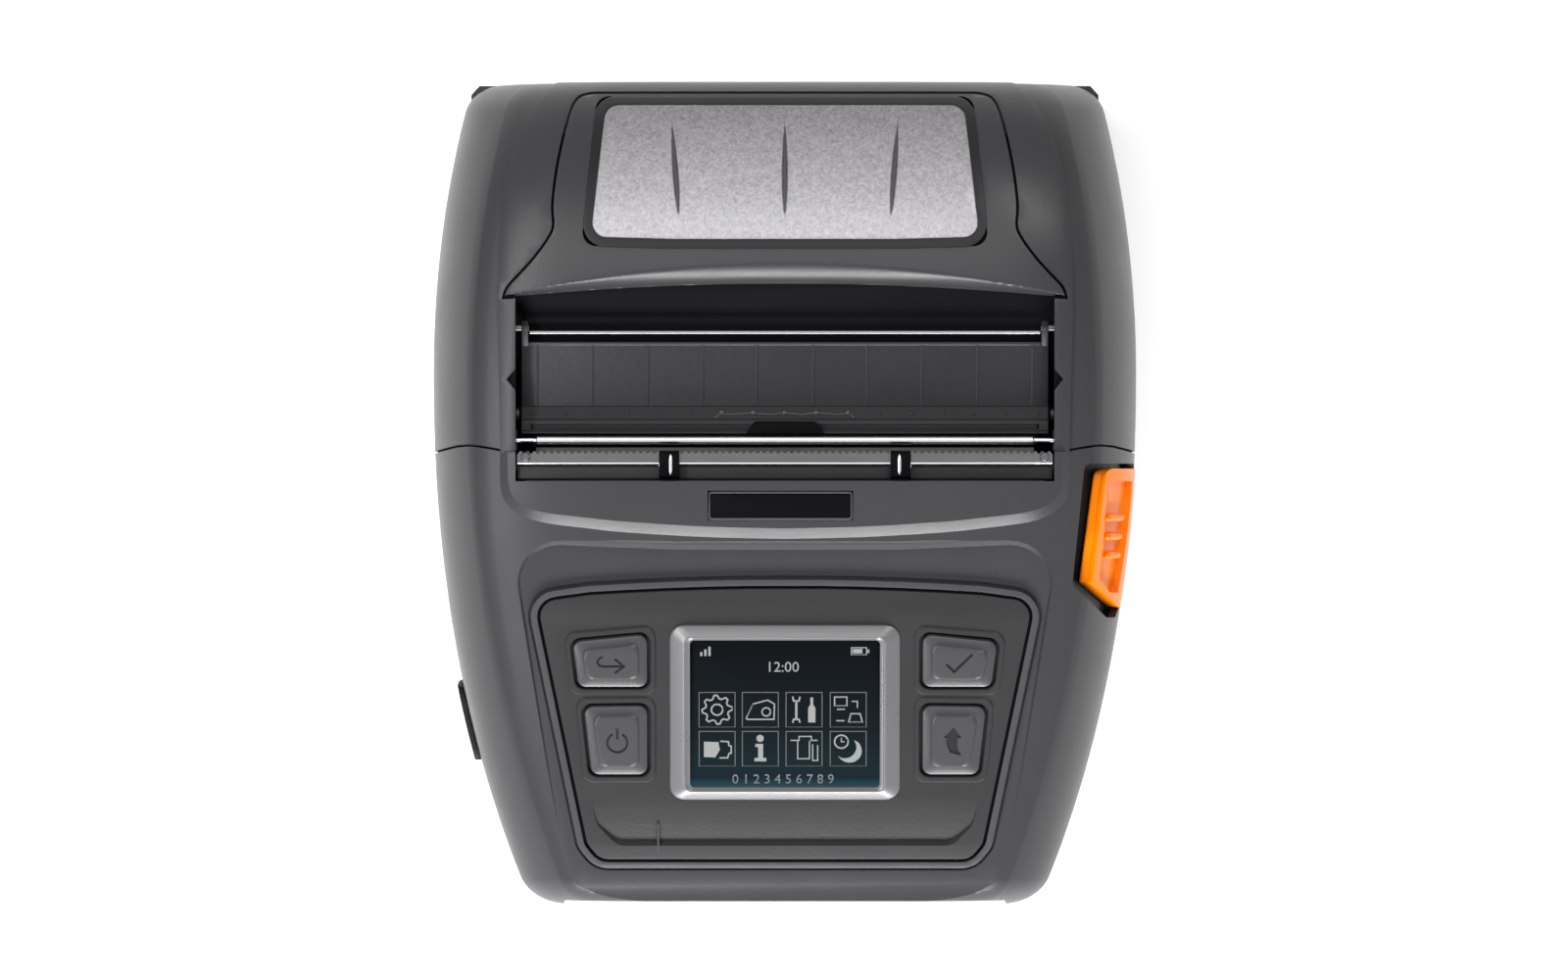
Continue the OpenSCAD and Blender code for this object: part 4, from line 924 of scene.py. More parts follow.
def stroke(points, width):
    """The outline of a line drawn through points with a pen of one width."""
    line = [Vector(p) for p in points]
    left, right = [], []
    for i, point in enumerate(line):
        a = (line[max(i, 1)] - line[max(i, 1) - 1]).normalized()
        b = (line[min(i + 1, len(line) - 1)] - line[min(i, len(line) - 2)]).normalized()
        across_a, across_b = Vector((-a.y, a.x)), Vector((-b.y, b.x))
        out = across_a + across_b
        out /= max(0.5, out.dot(across_a))
        left.append(tuple(point + out * width / 2))
        right.append(tuple(point - out * width / 2))
    return right + left[::-1]


def arc(radius, start, end, u=0.0, v=0.0, steps=16):
    """Points of an arc, with its angles in degrees."""
    angles = [math.radians(start + (end - start) * k / steps) for k in range(steps + 1)]
    return [(u + radius * math.cos(a), v + radius * math.sin(a)) for a in angles]


def cover_pieces():
    """The big cover: a shell, a raised frame, and a raised middle with the lip over the recess."""
    behind_hinge = (-90, 79, 0), (90, 95, 90)
    cover = form("cover_shell", SPLIT_Y + 0.3, Y_TOP - END_DEEP, BAND_DEEP, SPLIT_Z + GAP, first=seam_y)
    hollow = form("cutter", SPLIT_Y - 6, Y_TOP - end_deep(COVER_HOLLOW), COVER_HOLLOW, SPLIT_Z - 4)
    carve(cover, hollow, prism("cutter", grown(MIDDLE_OUTLINE, 0.6), 50, CLEAR),
          prism("cutter", RECESS, 50, CLEAR), *hinge_cuts())
    fit(cover, "cover", "casing", "shell", "media_cover")

    core = node_copy("media_cover", "cover_core_painted_shade")
    keep_within(core, form("cutter", SPLIT_Y + 0.5, Y_TOP - END_DEEP - 0.1, BAND_DEEP + 0.12,
                           SPLIT_Z + GAP + 0.1))
    knuckles = copied(core, "hinge_knuckles")
    carve(core, block("cutter", *behind_hinge))
    over_lip = middle_slab(thick=21.2, lift=20.0, last=54.0)
    carve(core, keep_within(over_lip, prism("cutter", MIDDLE_OUTLINE, 40, 120)))
    keep_within(knuckles, block("cutter", *behind_hinge))
    # Painted shade: the core, which walls the recess and floors the gaps round the raised middle, is
    # painted near black for the shade in them
    fit(core, "cover", "inside", "black_plastic", angle=30)
    fit(knuckles, "cover", "casing", "shell", angle=30)

    frame_skin = plate("cover_frame", both(FRAME_SIDE), FRAME_DEEP, 1.7)
    carve(frame_skin, prism("cutter", grown(MIDDLE_OUTLINE, 0.62), 40, CLEAR),
          prism("cutter", RECESS, 40, CLEAR))
    round_edges(frame_skin, 0.42, 3)
    fit(frame_skin, "cover", "casing", "shell")

    middle = keep_within(middle_slab(), prism("cutter", MIDDLE_OUTLINE, 40, CLEAR))
    carve(middle, window_cut(2.05))
    round_edges(middle, 0.4, 3)
    fit(middle, "cover", "casing", "shell")


def lip_drop(x, y):
    """How far the raised middle has rolled down towards the recess."""
    top, edge = lip_y(x, *LIP_TOP), lip_y(x, *LIP_EDGE)
    share = min(1.0, max(0.0, (top - y) / (top - edge)))
    return LIP_DEEP * (0.75 * share ** 1.3 + 0.25 * share ** 7)


def middle_slab(thick=2.4, lift=0.0, last=Y_TOP - 1.5):
    """The raised middle before it is cut out, with its rolled lip."""
    fine = [43.0 + 0.36 * k for k in range(22)]
    return slab("cover_middle", fine + rows(fine[-1] + 0.3, last, MIDDLE_DEEP, 3), MIDDLE_DEEP, thick,
                63.0, 68, lip_drop, lift)


def window_pieces():
    """The smoked lens with its three pointed grooves, in its rubber frame; a dark grey streak laid in
    the floor of each groove is painted shade.
    """
    seal = plate("window_frame", rounded(window_outline(2.15), 5), -0.2, 2.4)
    carve(seal, window_cut(0.12, 3.2))
    round_edges(seal, 0.5, 3)
    fit(seal, "cover", "seal", "black_plastic", "window_seal")
    lens = plate("window_glass", rounded(window_outline(0.05), 3.2), 0.3, 1.7)
    round_edges(lens, 0.35, 2, 40)
    groove_shades = []
    for low, high in ((-23.1, -24.8), (0.0, 0.0), (23.1, 24.8)):
        path = []
        for k in range(25):
            x, y = low + (high - low) * k / 24, 60.2 + 22.2 * k / 24
            path.append((x, y, top_z(x, y, 0.3) + 0.02))
        carve(lens, tube("cutter", path, pointed(0.03, 0.72), 16))
        # Painted shade: a dark grey streak in the groove's floor stands in for the shade down in the
        # groove
        groove_shades.append(tube("groove_shade", [(x, y, z - 0.36) for x, y, z in path], pointed(0.02, 0.34), 12))
    fit(lens, "cover", "window", "window", "window_lens", angle=30)
    fit(join("window_groove_shades", groove_shades), "cover", "groove", "window", angle=60)


def front_pieces():
    """The lower front: shell, raised apron, valley round the panel and the pocket for the tear bar."""
    front = form("front_casing", Y_BOT + END_DEEP, SPLIT_Y - 0.4, BAND_DEEP, SPLIT_Z + 0.35,
                 last=lambda x: seam_y(x) - 0.5)
    hollow = form("cutter", Y_BOT + end_deep(FRONT_HOLLOW), SPLIT_Y + 6, FRONT_HOLLOW, SPLIT_Z - 4)
    carve(hollow, slope_prism("cutter", rect(100, 140), SLAB_W, 60))
    carve(front, hollow)
    apron = slab("apron_raised", rows(-14, 14, SAFE, 3), SAFE, 2.4)
    keep_within(apron, loft("cutter", [[(x, y, top_z(x, y) - deep) for x, y in apron_outline(share)]
                                       for share, deep in APRON_STEPS]))
    pocket = [(POCKET_Y, 90), (POCKET_Y, TEAR_Z - 1.6), (POCKET_Y + 3.6, TEAR_Z - 1.6),
              (POCKET_Y + 3.6, POCKET_Z), (SPLIT_Y + 3, POCKET_Z), (SPLIT_Y + 3, 90)]
    for part in (front, apron):
        carve(part, across("cutter", -SLOT_HALF, SLOT_HALF, pocket),
              block("cutter", (BADGE_X - 15.9, BADGE_Y - 3.25, BADGE_Z - 0.9),
                    (BADGE_X + 15.9, BADGE_Y + 3.25, 90)))
    carve(front, block("cutter", (-57, POCKET_Y + 2, POCKET_Z - 9), (57, SPLIT_Y + 2.5, POCKET_Z + 0.5)),
          block("cutter", (-49.05, Y_BOT - 1, SPLIT_Z - 1), (49.05, Y_BOT + END_RECESS, 90)))
    valley = slope_loft("cutter", [(w, rounded(grown(VALLEY_OUTLINE, out), CORNER + 2 + out, 8))
                                   for w, out in VALLEY_STEPS])
    seat = slope_prism("cutter", rounded(PANEL_OUTLINE, CORNER), SEAT_W, 20)
    well = slope_prism("cutter", rounded(grown(PANEL_OUTLINE, -3), CORNER), SLAB_W - 20, 20)
    key_hole = across("cutter", 58.8, BODY_W, rounded(KEY_GROWN, 0.8))
    plan = rounded([(65.6, 6.9), (63.0, -19.8), (71.7, -27.9), (90, -27.6), (90, 6.9)], 1.8)
    keep_within(key_hole, prism("core", plan, 30, 90))
    carve(front, valley, seat, well, key_hole)
    fit(front, "casing", "casing", "shell", "front_shell", angle=33)
    fit(apron, "casing", "casing", "shell", angle=16)


def rear_pieces():
    """The casing behind the front one, kept inside the drawn-in flanks."""
    back = node_copy("rear_shell", "rear_casing")
    keep_within(back, low_form("cutter", BAND_DEEP, 40))
    fit(back, "casing", "casing", "shell", "rear_shell", angle=30)


# The button panel and the display

PANEL_SHRUNK = grown(PANEL_OUTLINE, -0.65)
SCOOP_TOP, SCOOP_LOW, SCOOP_DEEP = -59.5, -72.2, 1.3
SCOOP = rounded([(-43.0, SCOOP_TOP), (43.0, SCOOP_TOP), (41.6, -67.0), (37.0, SCOOP_LOW),
                 (-37.0, SCOOP_LOW), (-41.6, -67.0)], 4.0)
BEND_V, BEND_DROP = -57.0, 1.0


def panel_top(v):
    """Height of the panel's face on the slope; its foot bends down."""
    return PANEL_W - BEND_DROP * (max(0.0, BEND_V - v) / 20) ** 2


def across_slope(name, top, low):
    """A slab over the panel's stretch of the slope, between two heights that change up the slope."""
    places = [PANEL_LOW_V - 1 + 2.0 * k for k in range(37)]
    return loft(name,
                [[on_slope(u, v, w) for u, w in both([(62.0, low(v)), (62.0, top(v))])] for v in places])


def panel_outline(inset):
    """The panel's rounded outline, drawn in."""
    return rounded(grown(PANEL_SHRUNK, -inset), CORNER - 0.65 - inset)


def within(name, drop, inset):
    """The part of the panel that lies inside its outline drawn in, with its face sunk by a drop."""
    part = across_slope(name, lambda v: panel_top(v) - drop,
                        lambda v: min(SEAT_W, panel_top(v) - drop - 0.5))
    return keep_within(part, slope_prism("cutter", panel_outline(inset), SEAT_W - 1, 3))


def button_outline(side, row, out):
    if row == 0:
        outline = [(BUTTON_X - out, 5.9 - out), (BUTTON_X + 15.1 + out, 5.9 - out),
                   (BUTTON_X + 16.4 + out, 16.2 + out), (BUTTON_X - out, 17.9 + out)]
    else:
        outline = [(BUTTON_X - out, -14.1 - out), (BUTTON_X + 12.3 + out, -14.1 - out),
                   (BUTTON_X + 14 + out, 1.4 + out), (BUTTON_X - out, 1.6 + out)]
    return [(side * u, BEZEL_V + v) for u, v in outline]


def button_form(name, side, row, layers):
    """A solid at one button's place, from layers of (height, how far out, corner radius)."""
    return slope_loft(name, [(w, rounded(button_outline(side, row, out), r)) for w, out, r in layers])


BUTTONS = [("back", -1, 0), ("power", -1, 1), ("ok", 1, 0), ("feed", 1, 1)]


def scoop_share(v):
    """How deep the scoop lies at one place down the slope; it runs out softly at its top."""
    share = (SCOOP_TOP - v) / (SCOOP_TOP - SCOOP_LOW)
    return share ** 1.6 if share > 0 else -0.1


def panel_pieces():
    """The panel: bent foot, groove along its border, rings round the buttons and a scoop at its foot."""
    border = within("panel_border", 0.0, 0.0)
    carve(border, slope_prism("cutter", panel_outline(1.35), SEAT_W - 1, 3))
    fit(round_edges(border, 0.4, 3), "casing", "button", "panel_plastic", angle=30)
    groove = within("panel_groove_painted_shade", 0.9, 0.8)
    face = within("panel_face", 0.0, 2.1)
    round_edges(face, 0.35, 3)
    for _, side, row in BUTTONS:
        rim = button_form("rim", side, row, [(PANEL_W - 0.6, 1.9, 2.6), (PANEL_W + 0.1, 1.9, 2.6),
                                             (PANEL_W + 0.35, 1.6, 2.4)])
        carve(face, rim, operation="UNION")
        hole = button_form("cutter", side, row, [(SEAT_W - 1, 0.6, 2.2), (PANEL_W + 0.1, 0.6, 2.2),
                                                 (PANEL_W + 0.45, 0.9, 2.4), (PANEL_W + 4, 0.9, 2.4)])
        carve(face, hole)
    scoop = across_slope("cutter", lambda v: PANEL_W + 4,
                         lambda v: panel_top(v) + 0.05 - (SCOOP_DEEP + 0.05) * scoop_share(v))
    keep_within(scoop, slope_loft("core", [(PANEL_W - 2.6, grown(SCOOP, -2.0)),
                                           (PANEL_W + 0.2, grown(SCOOP, 0.1)),
                                           (PANEL_W + 3, grown(SCOOP, 0.1))]))
    carve(face, scoop)
    carve(face, slope_prism("cutter", rounded(rect(BEZEL_W / 2 - 2.3, BEZEL_H / 2 - 1.7, BEZEL_V), 1),
                            SEAT_W - 1, 5))
    carve(groove, slope_prism("cutter", panel_outline(3.2), SEAT_W - 1, 5))
    # Painted shade: the groove's floor is painted near black for the shade down in it
    fit(groove, "casing", "inside", "panel_plastic", angle=30)
    fit(face, "casing", "panel", "panel_plastic", "button_panel", angle=30)
    mark = across_slope("panel_mark", lambda v: panel_top(v) + 0.1, lambda v: panel_top(v) - 1.4)
    keep_within(mark, slope_prism("cutter", rect(0.2, 4.0, -70.6, -27.9), SEAT_W - 1, 3))
    fit(mark, "casing", "button", "panel_plastic")


def bezel_piece():
    """The display's surround: a rounded foot, a slope that rises inwards and a thin lip."""
    layers = []
    for share, height in ((0.02, -0.02), (0.0, 0.10), (0.01, 0.24), (0.05, 0.40), (0.10, 0.53),
                          (0.66, 1.76), (0.71, 1.84), (0.76, 1.84), (0.80, 1.72), (0.86, 1.50),
                          (0.96, 1.46)):
        outline = rect(BEZEL_W / 2 - (BEZEL_W - SCREEN_W) / 2 * share,
                       BEZEL_H / 2 - (BEZEL_H - SCREEN_H) / 2 * share, BEZEL_V)
        layers.append((PANEL_W + height, rounded(outline, 3.2 - 2.0 * share)))
    bezel = slope_loft("display_surround", layers)
    carve(bezel, slope_prism("cutter", rounded(rect(SCREEN_W / 2, SCREEN_H / 2, BEZEL_V), 1),
                             PANEL_W - 1, PANEL_W + 4))
    fit(bezel, "casing", "bezel", "panel_plastic", "display_bezel", angle=40)


def closed(points):
    return list(points) + [points[0], points[1]]


def writing(words, size, u, v):
    """Plain words on the screen, as thin solids."""
    only(None)
    bpy.ops.object.text_add()
    text = bpy.context.object
    text.data.body, text.data.size, text.data.extrude = words, size, 0.03
    text.data.align_x, text.data.align_y = "CENTER", "CENTER"
    text.data.resolution_u = 3
    bpy.ops.object.convert(target="MESH")
    piece = bpy.context.object
    for vertex in piece.data.vertices:
        x, y, z = vertex.co
        vertex.co = Vector(on_slope(u + x, v + y, GLASS_W + 0.04 + z)) * MM
    return tidy(piece, 0.002)


GLASS_W = PANEL_W - 0.05
COLUMNS, LINES = (-14.9, -5.4, 4.2, 13.9), (-40.45, -49.35)
GEAR = [(r * math.cos(a), r * math.sin(a))
        for r, a in ((3.3 if k % 4 < 2 else 2.55, math.radians(11.25 * k)) for k in range(32))]
PICTURES = [
    [(closed(GEAR), 0.34), (closed(arc(1.25, 0, 340)), 0.34)],
    [(closed([(-3.1, -1.9), (-1.6, 1.3), (1.6, 2.2), (3.1, 1.3), (3.0, -2.2), (-2.9, -2.2)]), 0.3),
     (closed(arc(0.95, 0, 330, 1.3, -0.5)), 0.3)],
    [([(-1.7, 2.0), (-1.7, -2.2)], 0.5), ([(-2.5, 3.0), (-2.3, 2.0), (-1.1, 2.0), (-0.9, 3.0)], 0.36),
     ([(-2.5, -3.0), (-2.3, -2.2), (-1.1, -2.2), (-0.9, -3.0)], 0.36),
     ([(0.9, -2.9), (2.5, -2.9), (2.5, 0.4), (2.0, 1.2), (2.0, 2.8), (1.4, 2.8), (1.4, 1.2), (0.9, 0.4)],
      0)],
    [(closed([(-3.0, 0.9), (-0.3, 0.9), (-0.3, 2.9), (-3.0, 2.9)]), 0.28),
     ([(-2.5, 0.1), (-0.7, 0.1)], 0.28), (closed([(0.1, -2.8), (3.1, -2.8), (2.6, -0.9), (0.6, -0.9)]),
                                          0.28), ([(0.7, 1.9), (2.0, 1.9), (2.0, 0.4)], 0.26),
     ([(-2.6, -2.5), (-0.8, -2.5)], 0.28)],
    [([(-2.9, -1.9), (-0.4, -2.0), (0.6, -0.3), (0.3, 1.5), (-2.9, 1.6)], 0),
     ([(0.7, 1.7), (2.5, 1.6), (2.6, 0.7), (3.1, 0.6), (3.1, -1.0), (2.6, -1.1), (2.3, -2.1),
       (0.5, -2.1)], 0.32)],
    [(arc(0.82, 0, 340, -0.05, 2.35), 0),
     ([(-1.1, 1.1), (0.6, 1.1), (0.6, -2.1), (1.3, -2.1), (1.3, -2.9), (-1.3, -2.9), (-1.3, -2.1),
       (-0.5, -2.1), (-0.5, 0.4), (-1.1, 0.4)], 0)],
    [([(-3.0, 1.9), (-1.1, 1.9), (-1.1, 2.8), (1.6, 2.8), (1.6, 1.9), (3.0, 1.9)], 0.26),
     ([(-1.4, 1.8), (-1.4, -2.3), (1.2, -2.3), (1.2, 1.8)], 0.26),
     ([(1.9, 1.0), (1.9, -2.7), (3.0, -2.7), (3.0, 0.8)], 0.26)],
    [(arc(2.7, -140, 50, 0.3, -0.5) + arc(2.55, 38, -126, -0.75, 0.35), 0),
     (closed(arc(1.5, 0, 345, -1.5, 1.6)), 0.34), ([(-1.5, 2.5), (-1.5, 1.6), (-0.8, 1.6)], 0.24)],
]
STATUS = [([(-18.6, -28.2), (-18.1, -28.2), (-18.1, -27.3), (-18.6, -27.3)], 0),
          ([(-17.7, -28.2), (-17.2, -28.2), (-17.2, -26.7), (-17.7, -26.7)], 0),
          ([(-16.8, -28.2), (-16.3, -28.2), (-16.3, -26.1), (-16.8, -26.1)], 0),
          (closed([(14.6, -27.9), (17.9, -27.9), (17.9, -26.3), (14.6, -26.3)]), 0.24),
          ([(14.9, -27.6), (17.0, -27.6), (17.0, -26.6), (14.9, -26.6)], 0),
          ([(18.1, -27.5), (18.5, -27.5), (18.5, -26.7), (18.1, -26.7)], 0)]


def drawn(points, width, u=0.0, v=0.0):
    """A thin solid on the screen: a line of one width, or a filled outline for a width of nought."""
    outline = stroke(points, width) if width else points
    return slope_prism("drawn", [(u + x, v + y) for x, y in outline], GLASS_W + 0.01, GLASS_W + 0.07)


def screen_pieces():
    """The display: glass behind the surround, with plain pictures in two rows, a clock and digits."""
    glass = slope_prism("display_glass", rounded(rect(BEZEL_W / 2 - 2.5, BEZEL_H / 2 - 1.9, BEZEL_V), 1),
                        PANEL_W - 1.1, GLASS_W)
    round_edges(glass, 0.12, 2)
    fit(glass, "casing", "screen", "screen", "display_lens")
    marks, tiles = [], []
    for k, picture in enumerate(PICTURES):
        u, v = COLUMNS[k % 4], LINES[k // 4]
        marks += [drawn(points, width, u, v) for points, width in picture]
        tiles.append(drawn(closed(rect(3.95, 3.95)), 0.2, u, v))
    marks += [drawn(points, width) for points, width in STATUS]
    marks += [writing("12:00", 3.3, -0.5, -30.8), writing("0 1 2 3 4 5 6 7 8 9", 3.0, -0.4, -56.4)]
    fit(join("screen_marks", marks), "casing", "symbols", "screen", angle=None)
    fit(join("screen_frames", tiles), "casing", "tiles", "screen", angle=None)


BUTTON_MARKS = {
    "back": [([(-1.9, 1.3), (-2.7, 1.0), (-3.0, 0.2), (-2.6, -0.6), (-1.8, -0.8), (2.5, -0.8)], 0.5),
             ([(0.8, 0.9), (2.8, -0.8), (0.8, -2.3)], 0.5)],
    "power": [(arc(2.2, 120, 420, 0, -0.2), 0.5), ([(0, 0.6), (0, 3.1)], 0.5)],
    "ok": [([(-2.7, -0.3), (-1.0, -2.0), (3.0, 1.9)], 0.6)],
    "feed": [([(0.3, 3.3), (2.0, 0.9), (1.1, 0.9), (1.1, -1.6), (2.0, -3.2), (-0.6, -2.4), (-1.3, -0.6),
               (-1.3, 0.9), (-2.0, 0.9)], 0)],
}


def button_pieces():
    """Four caps with broad chamfers and sunk marks, a flange under the panel and a stem."""
    for name, side, row in BUTTONS:
        middle = (side * (BUTTON_X + (7.9 if row == 0 else 6.6)), BEZEL_V + (11.7 if row == 0 else -6.3))
        layers = [(SEAT_W - 0.6, 0.0), (PANEL_W + 0.3, 0.0), (PANEL_W + 0.55, -0.12),
                  (PANEL_W + 0.72, -0.45), (PANEL_W + 0.95, -1.75), (PANEL_W + 1.35, -2.05),
                  (PANEL_W + 1.5, -2.25), (PANEL_W + 1.53, -2.7)]
        body = "button_" + name
        cap = button_form(body + "_cap", side, row, [(w, out, 1.9 + 0.1 * out) for w, out in layers])
        inks = []
        for points, width in BUTTON_MARKS[name]:
            outline = [(middle[0] + u, middle[1] + v)
                       for u, v in (stroke(points, width) if width else points)]
            carve(cap, slope_prism("cutter", outline, PANEL_W + 1.26, PANEL_W + 3))
            inks.append(slope_prism("ink", outline, PANEL_W + 1.1, PANEL_W + 1.3))
        fit(join(body + "_mark", inks), body, "black", "panel_plastic", angle=30)
        stem = (side * (BUTTON_X + 7), BEZEL_V + (11.5 if row == 0 else -6.2))
        foot = button_form("foot", side, row, [(SEAT_W - 1.3, 1.0, 1.9), (SEAT_W - 1.2, 1.2, 1.9),
                                               (SEAT_W - 0.3, 1.2, 1.9)])
        post = slope_loft("post", [(w, arc(r, 0, 345, *stem, steps=23))
                                   for w, r in ((-6.65, 1.7), (-6.4, 2), (SEAT_W - 0.6, 2))])
        cap = join(body + "_cap", [cap, foot, post])
        fit(cap, body, "button", "panel_plastic", body, angle=30)


# The recess: peeler door, peel bar, tear bar and badge

DOOR_HALF = SLOT_HALF - 1.3
DOOR_FOOT, FACE_Z, FACE_RISE = 19.4, 65.45, 0.128


def door_face(y):
    """Height of the door's textured face."""
    return FACE_Z + (y - DOOR_FOOT) * FACE_RISE


def recess_pieces():
    """The peeler door: a grained plate with fine ribs, a lip with dots, ears and a tab; the peel bar."""
    top, low = DOOR_TOP, DOOR_FOOT
    door = across("door_plate", -DOOR_HALF, DOOR_HALF,
                  [(low, DOOR_Z - 1.55), (top - 0.5, DOOR_Z + 0.1), (top, DOOR_Z + 0.5),
                   (top, door_face(top) + 0.1), (top - 0.15, door_face(top) + 0.3),
                   (top - 0.55, door_face(top) + 0.3), (top - 0.8, door_face(top)),
                   (low, door_face(low))])
    rib = [(low + 0.1, door_face(low) - 0.5), (low + 0.1, door_face(low) + 0.12),
           (top - 0.8, door_face(top) + 0.16), (top - 0.8, door_face(top) - 0.5)]
    ribs = [across("rib", x - 0.3, x + 0.3, rib)
            for x in (-54.2, -42.1, -30.0, -18.0, -6.2, 6.2, 18.0, 30.0, 42.1, 54.2)]
    ribs = round_edges(join("door_ribs", ribs), 0.12, 2)
    fit(round_edges(door, 0.1, 2), "peeler", "door", "black_plastic", "peeler_door")
    fit(ribs, "peeler", "panel", "black_plastic")
    lip = across("door_lip", -DOOR_HALF, DOOR_HALF,
                 [(DOOR_LOW, 63.2), (low - 0.05, DOOR_Z - 1.6), (low - 0.05, door_face(low) - 0.35),
                  (17.2, 65.0), (16.6, 65.0), (16.3, 65.35), (15.9, 65.45), (14.1, 65.35), (13.8, 65.7),
                  (DOOR_LOW + 0.1, 65.7),
                  (DOOR_LOW, 65.4)])
    roller = DOOR_LOW + 1.6, DOOR_Z - DOOR_SLOPE + 1
    carve(lip, rod("cutter", -DOOR_HALF + 2, DOOR_HALF - 2, *roller, 1.5, 24),
          rod("cutter", -DOOR_HALF - 1, DOOR_HALF + 1, *roller, 0.85, 20))
    dots = []
    for k in range(-8, 9):
        raised = 0.55 if abs(k) < 3 else 0.32
        outlines = [arc(r, 0, 330, 6.9 * k, 17.9 if abs(k) < 3 else 17.7, 11)
                    for r in (raised, raised * 0.9, raised * 0.5)]
        dots.append(loft("dot", [[(x, y, h) for x, y in outline]
                                 for outline, h in zip(outlines, (64.8, 65.4, 65.55))]))
    bracket = stroke([(-15.2, 16.75), (-14.2, 17.7), (-11.2, 17.55), (-7, 17.9), (-3.5, 17.55),
                      (0, 17.9), (3.5, 17.55), (7, 17.9), (11.2, 17.55), (14.2, 17.7), (15.2, 16.75)],
                     0.26)
    dots.append(prism("bracket", bracket, 64.8, 65.35))
    fit(lip, "peeler", "black", "black_plastic")
    fit(join("door_dots", dots), "peeler", "button", "black_plastic")
    # Painted shade: the tab is painted near black for the shade of the finger notch at the middle of the
    # door's foot
    tab = prism("door_tab_painted_shade", [(-8.7, 13.2), (8.7, 13.2), (6.7, 16.0), (-6.7, 16.0)], 65.3, 67.2)
    fit(round_edges(tab, 0.5, 3), "peeler", "plate", "black_plastic")
    ear = across("door_ears", DOOR_HALF - 1.5, DOOR_HALF,
                 [(top - 1, DOOR_Z + 0.4), (PIVOT_Y, PIVOT_Z - 1.6), (PIVOT_Y + 1.6, PIVOT_Z),
                  (PIVOT_Y, PIVOT_Z + 1.3), (top - 1, DOOR_Z + DOOR_T)])
    carve(ear, rod("cutter", 50, 60, PIVOT_Y, PIVOT_Z, 0.8, 24))
    fit(pair("door_ears", round_edges(ear, 0.25, 2)), "peeler", "panel", "black_plastic")
    rail = turned("door_rail", [(-56.0, 0.2), (-55.8, 0.42), (55.8, 0.42), (56.0, 0.2)], 35.5, 67.95, 16)
    fit(rail, "peeler", "dark_steel", "steel")
    bar = [(-SLOT_HALF - 1, 0.45), (-SLOT_HALF - 0.85, 0.6), (-54.9, 0.6), (-54.5, 0.72), (-54.2, 0.9),
           (54.2, 0.9), (54.5, 0.72), (54.9, 0.6), (SLOT_HALF + 0.85, 0.6), (SLOT_HALF + 1, 0.45)]
    fit(turned("peel_bar_turned", bar, PEEL_Y, PEEL_Z, 40), "cover", "chrome", "bright_bar", "peel_bar",
        angle=30)


def badge_outline(a, b, radius):
    return [(BADGE_X + u, BADGE_Y + v) for u, v in rounded(rect(a, b), radius)]


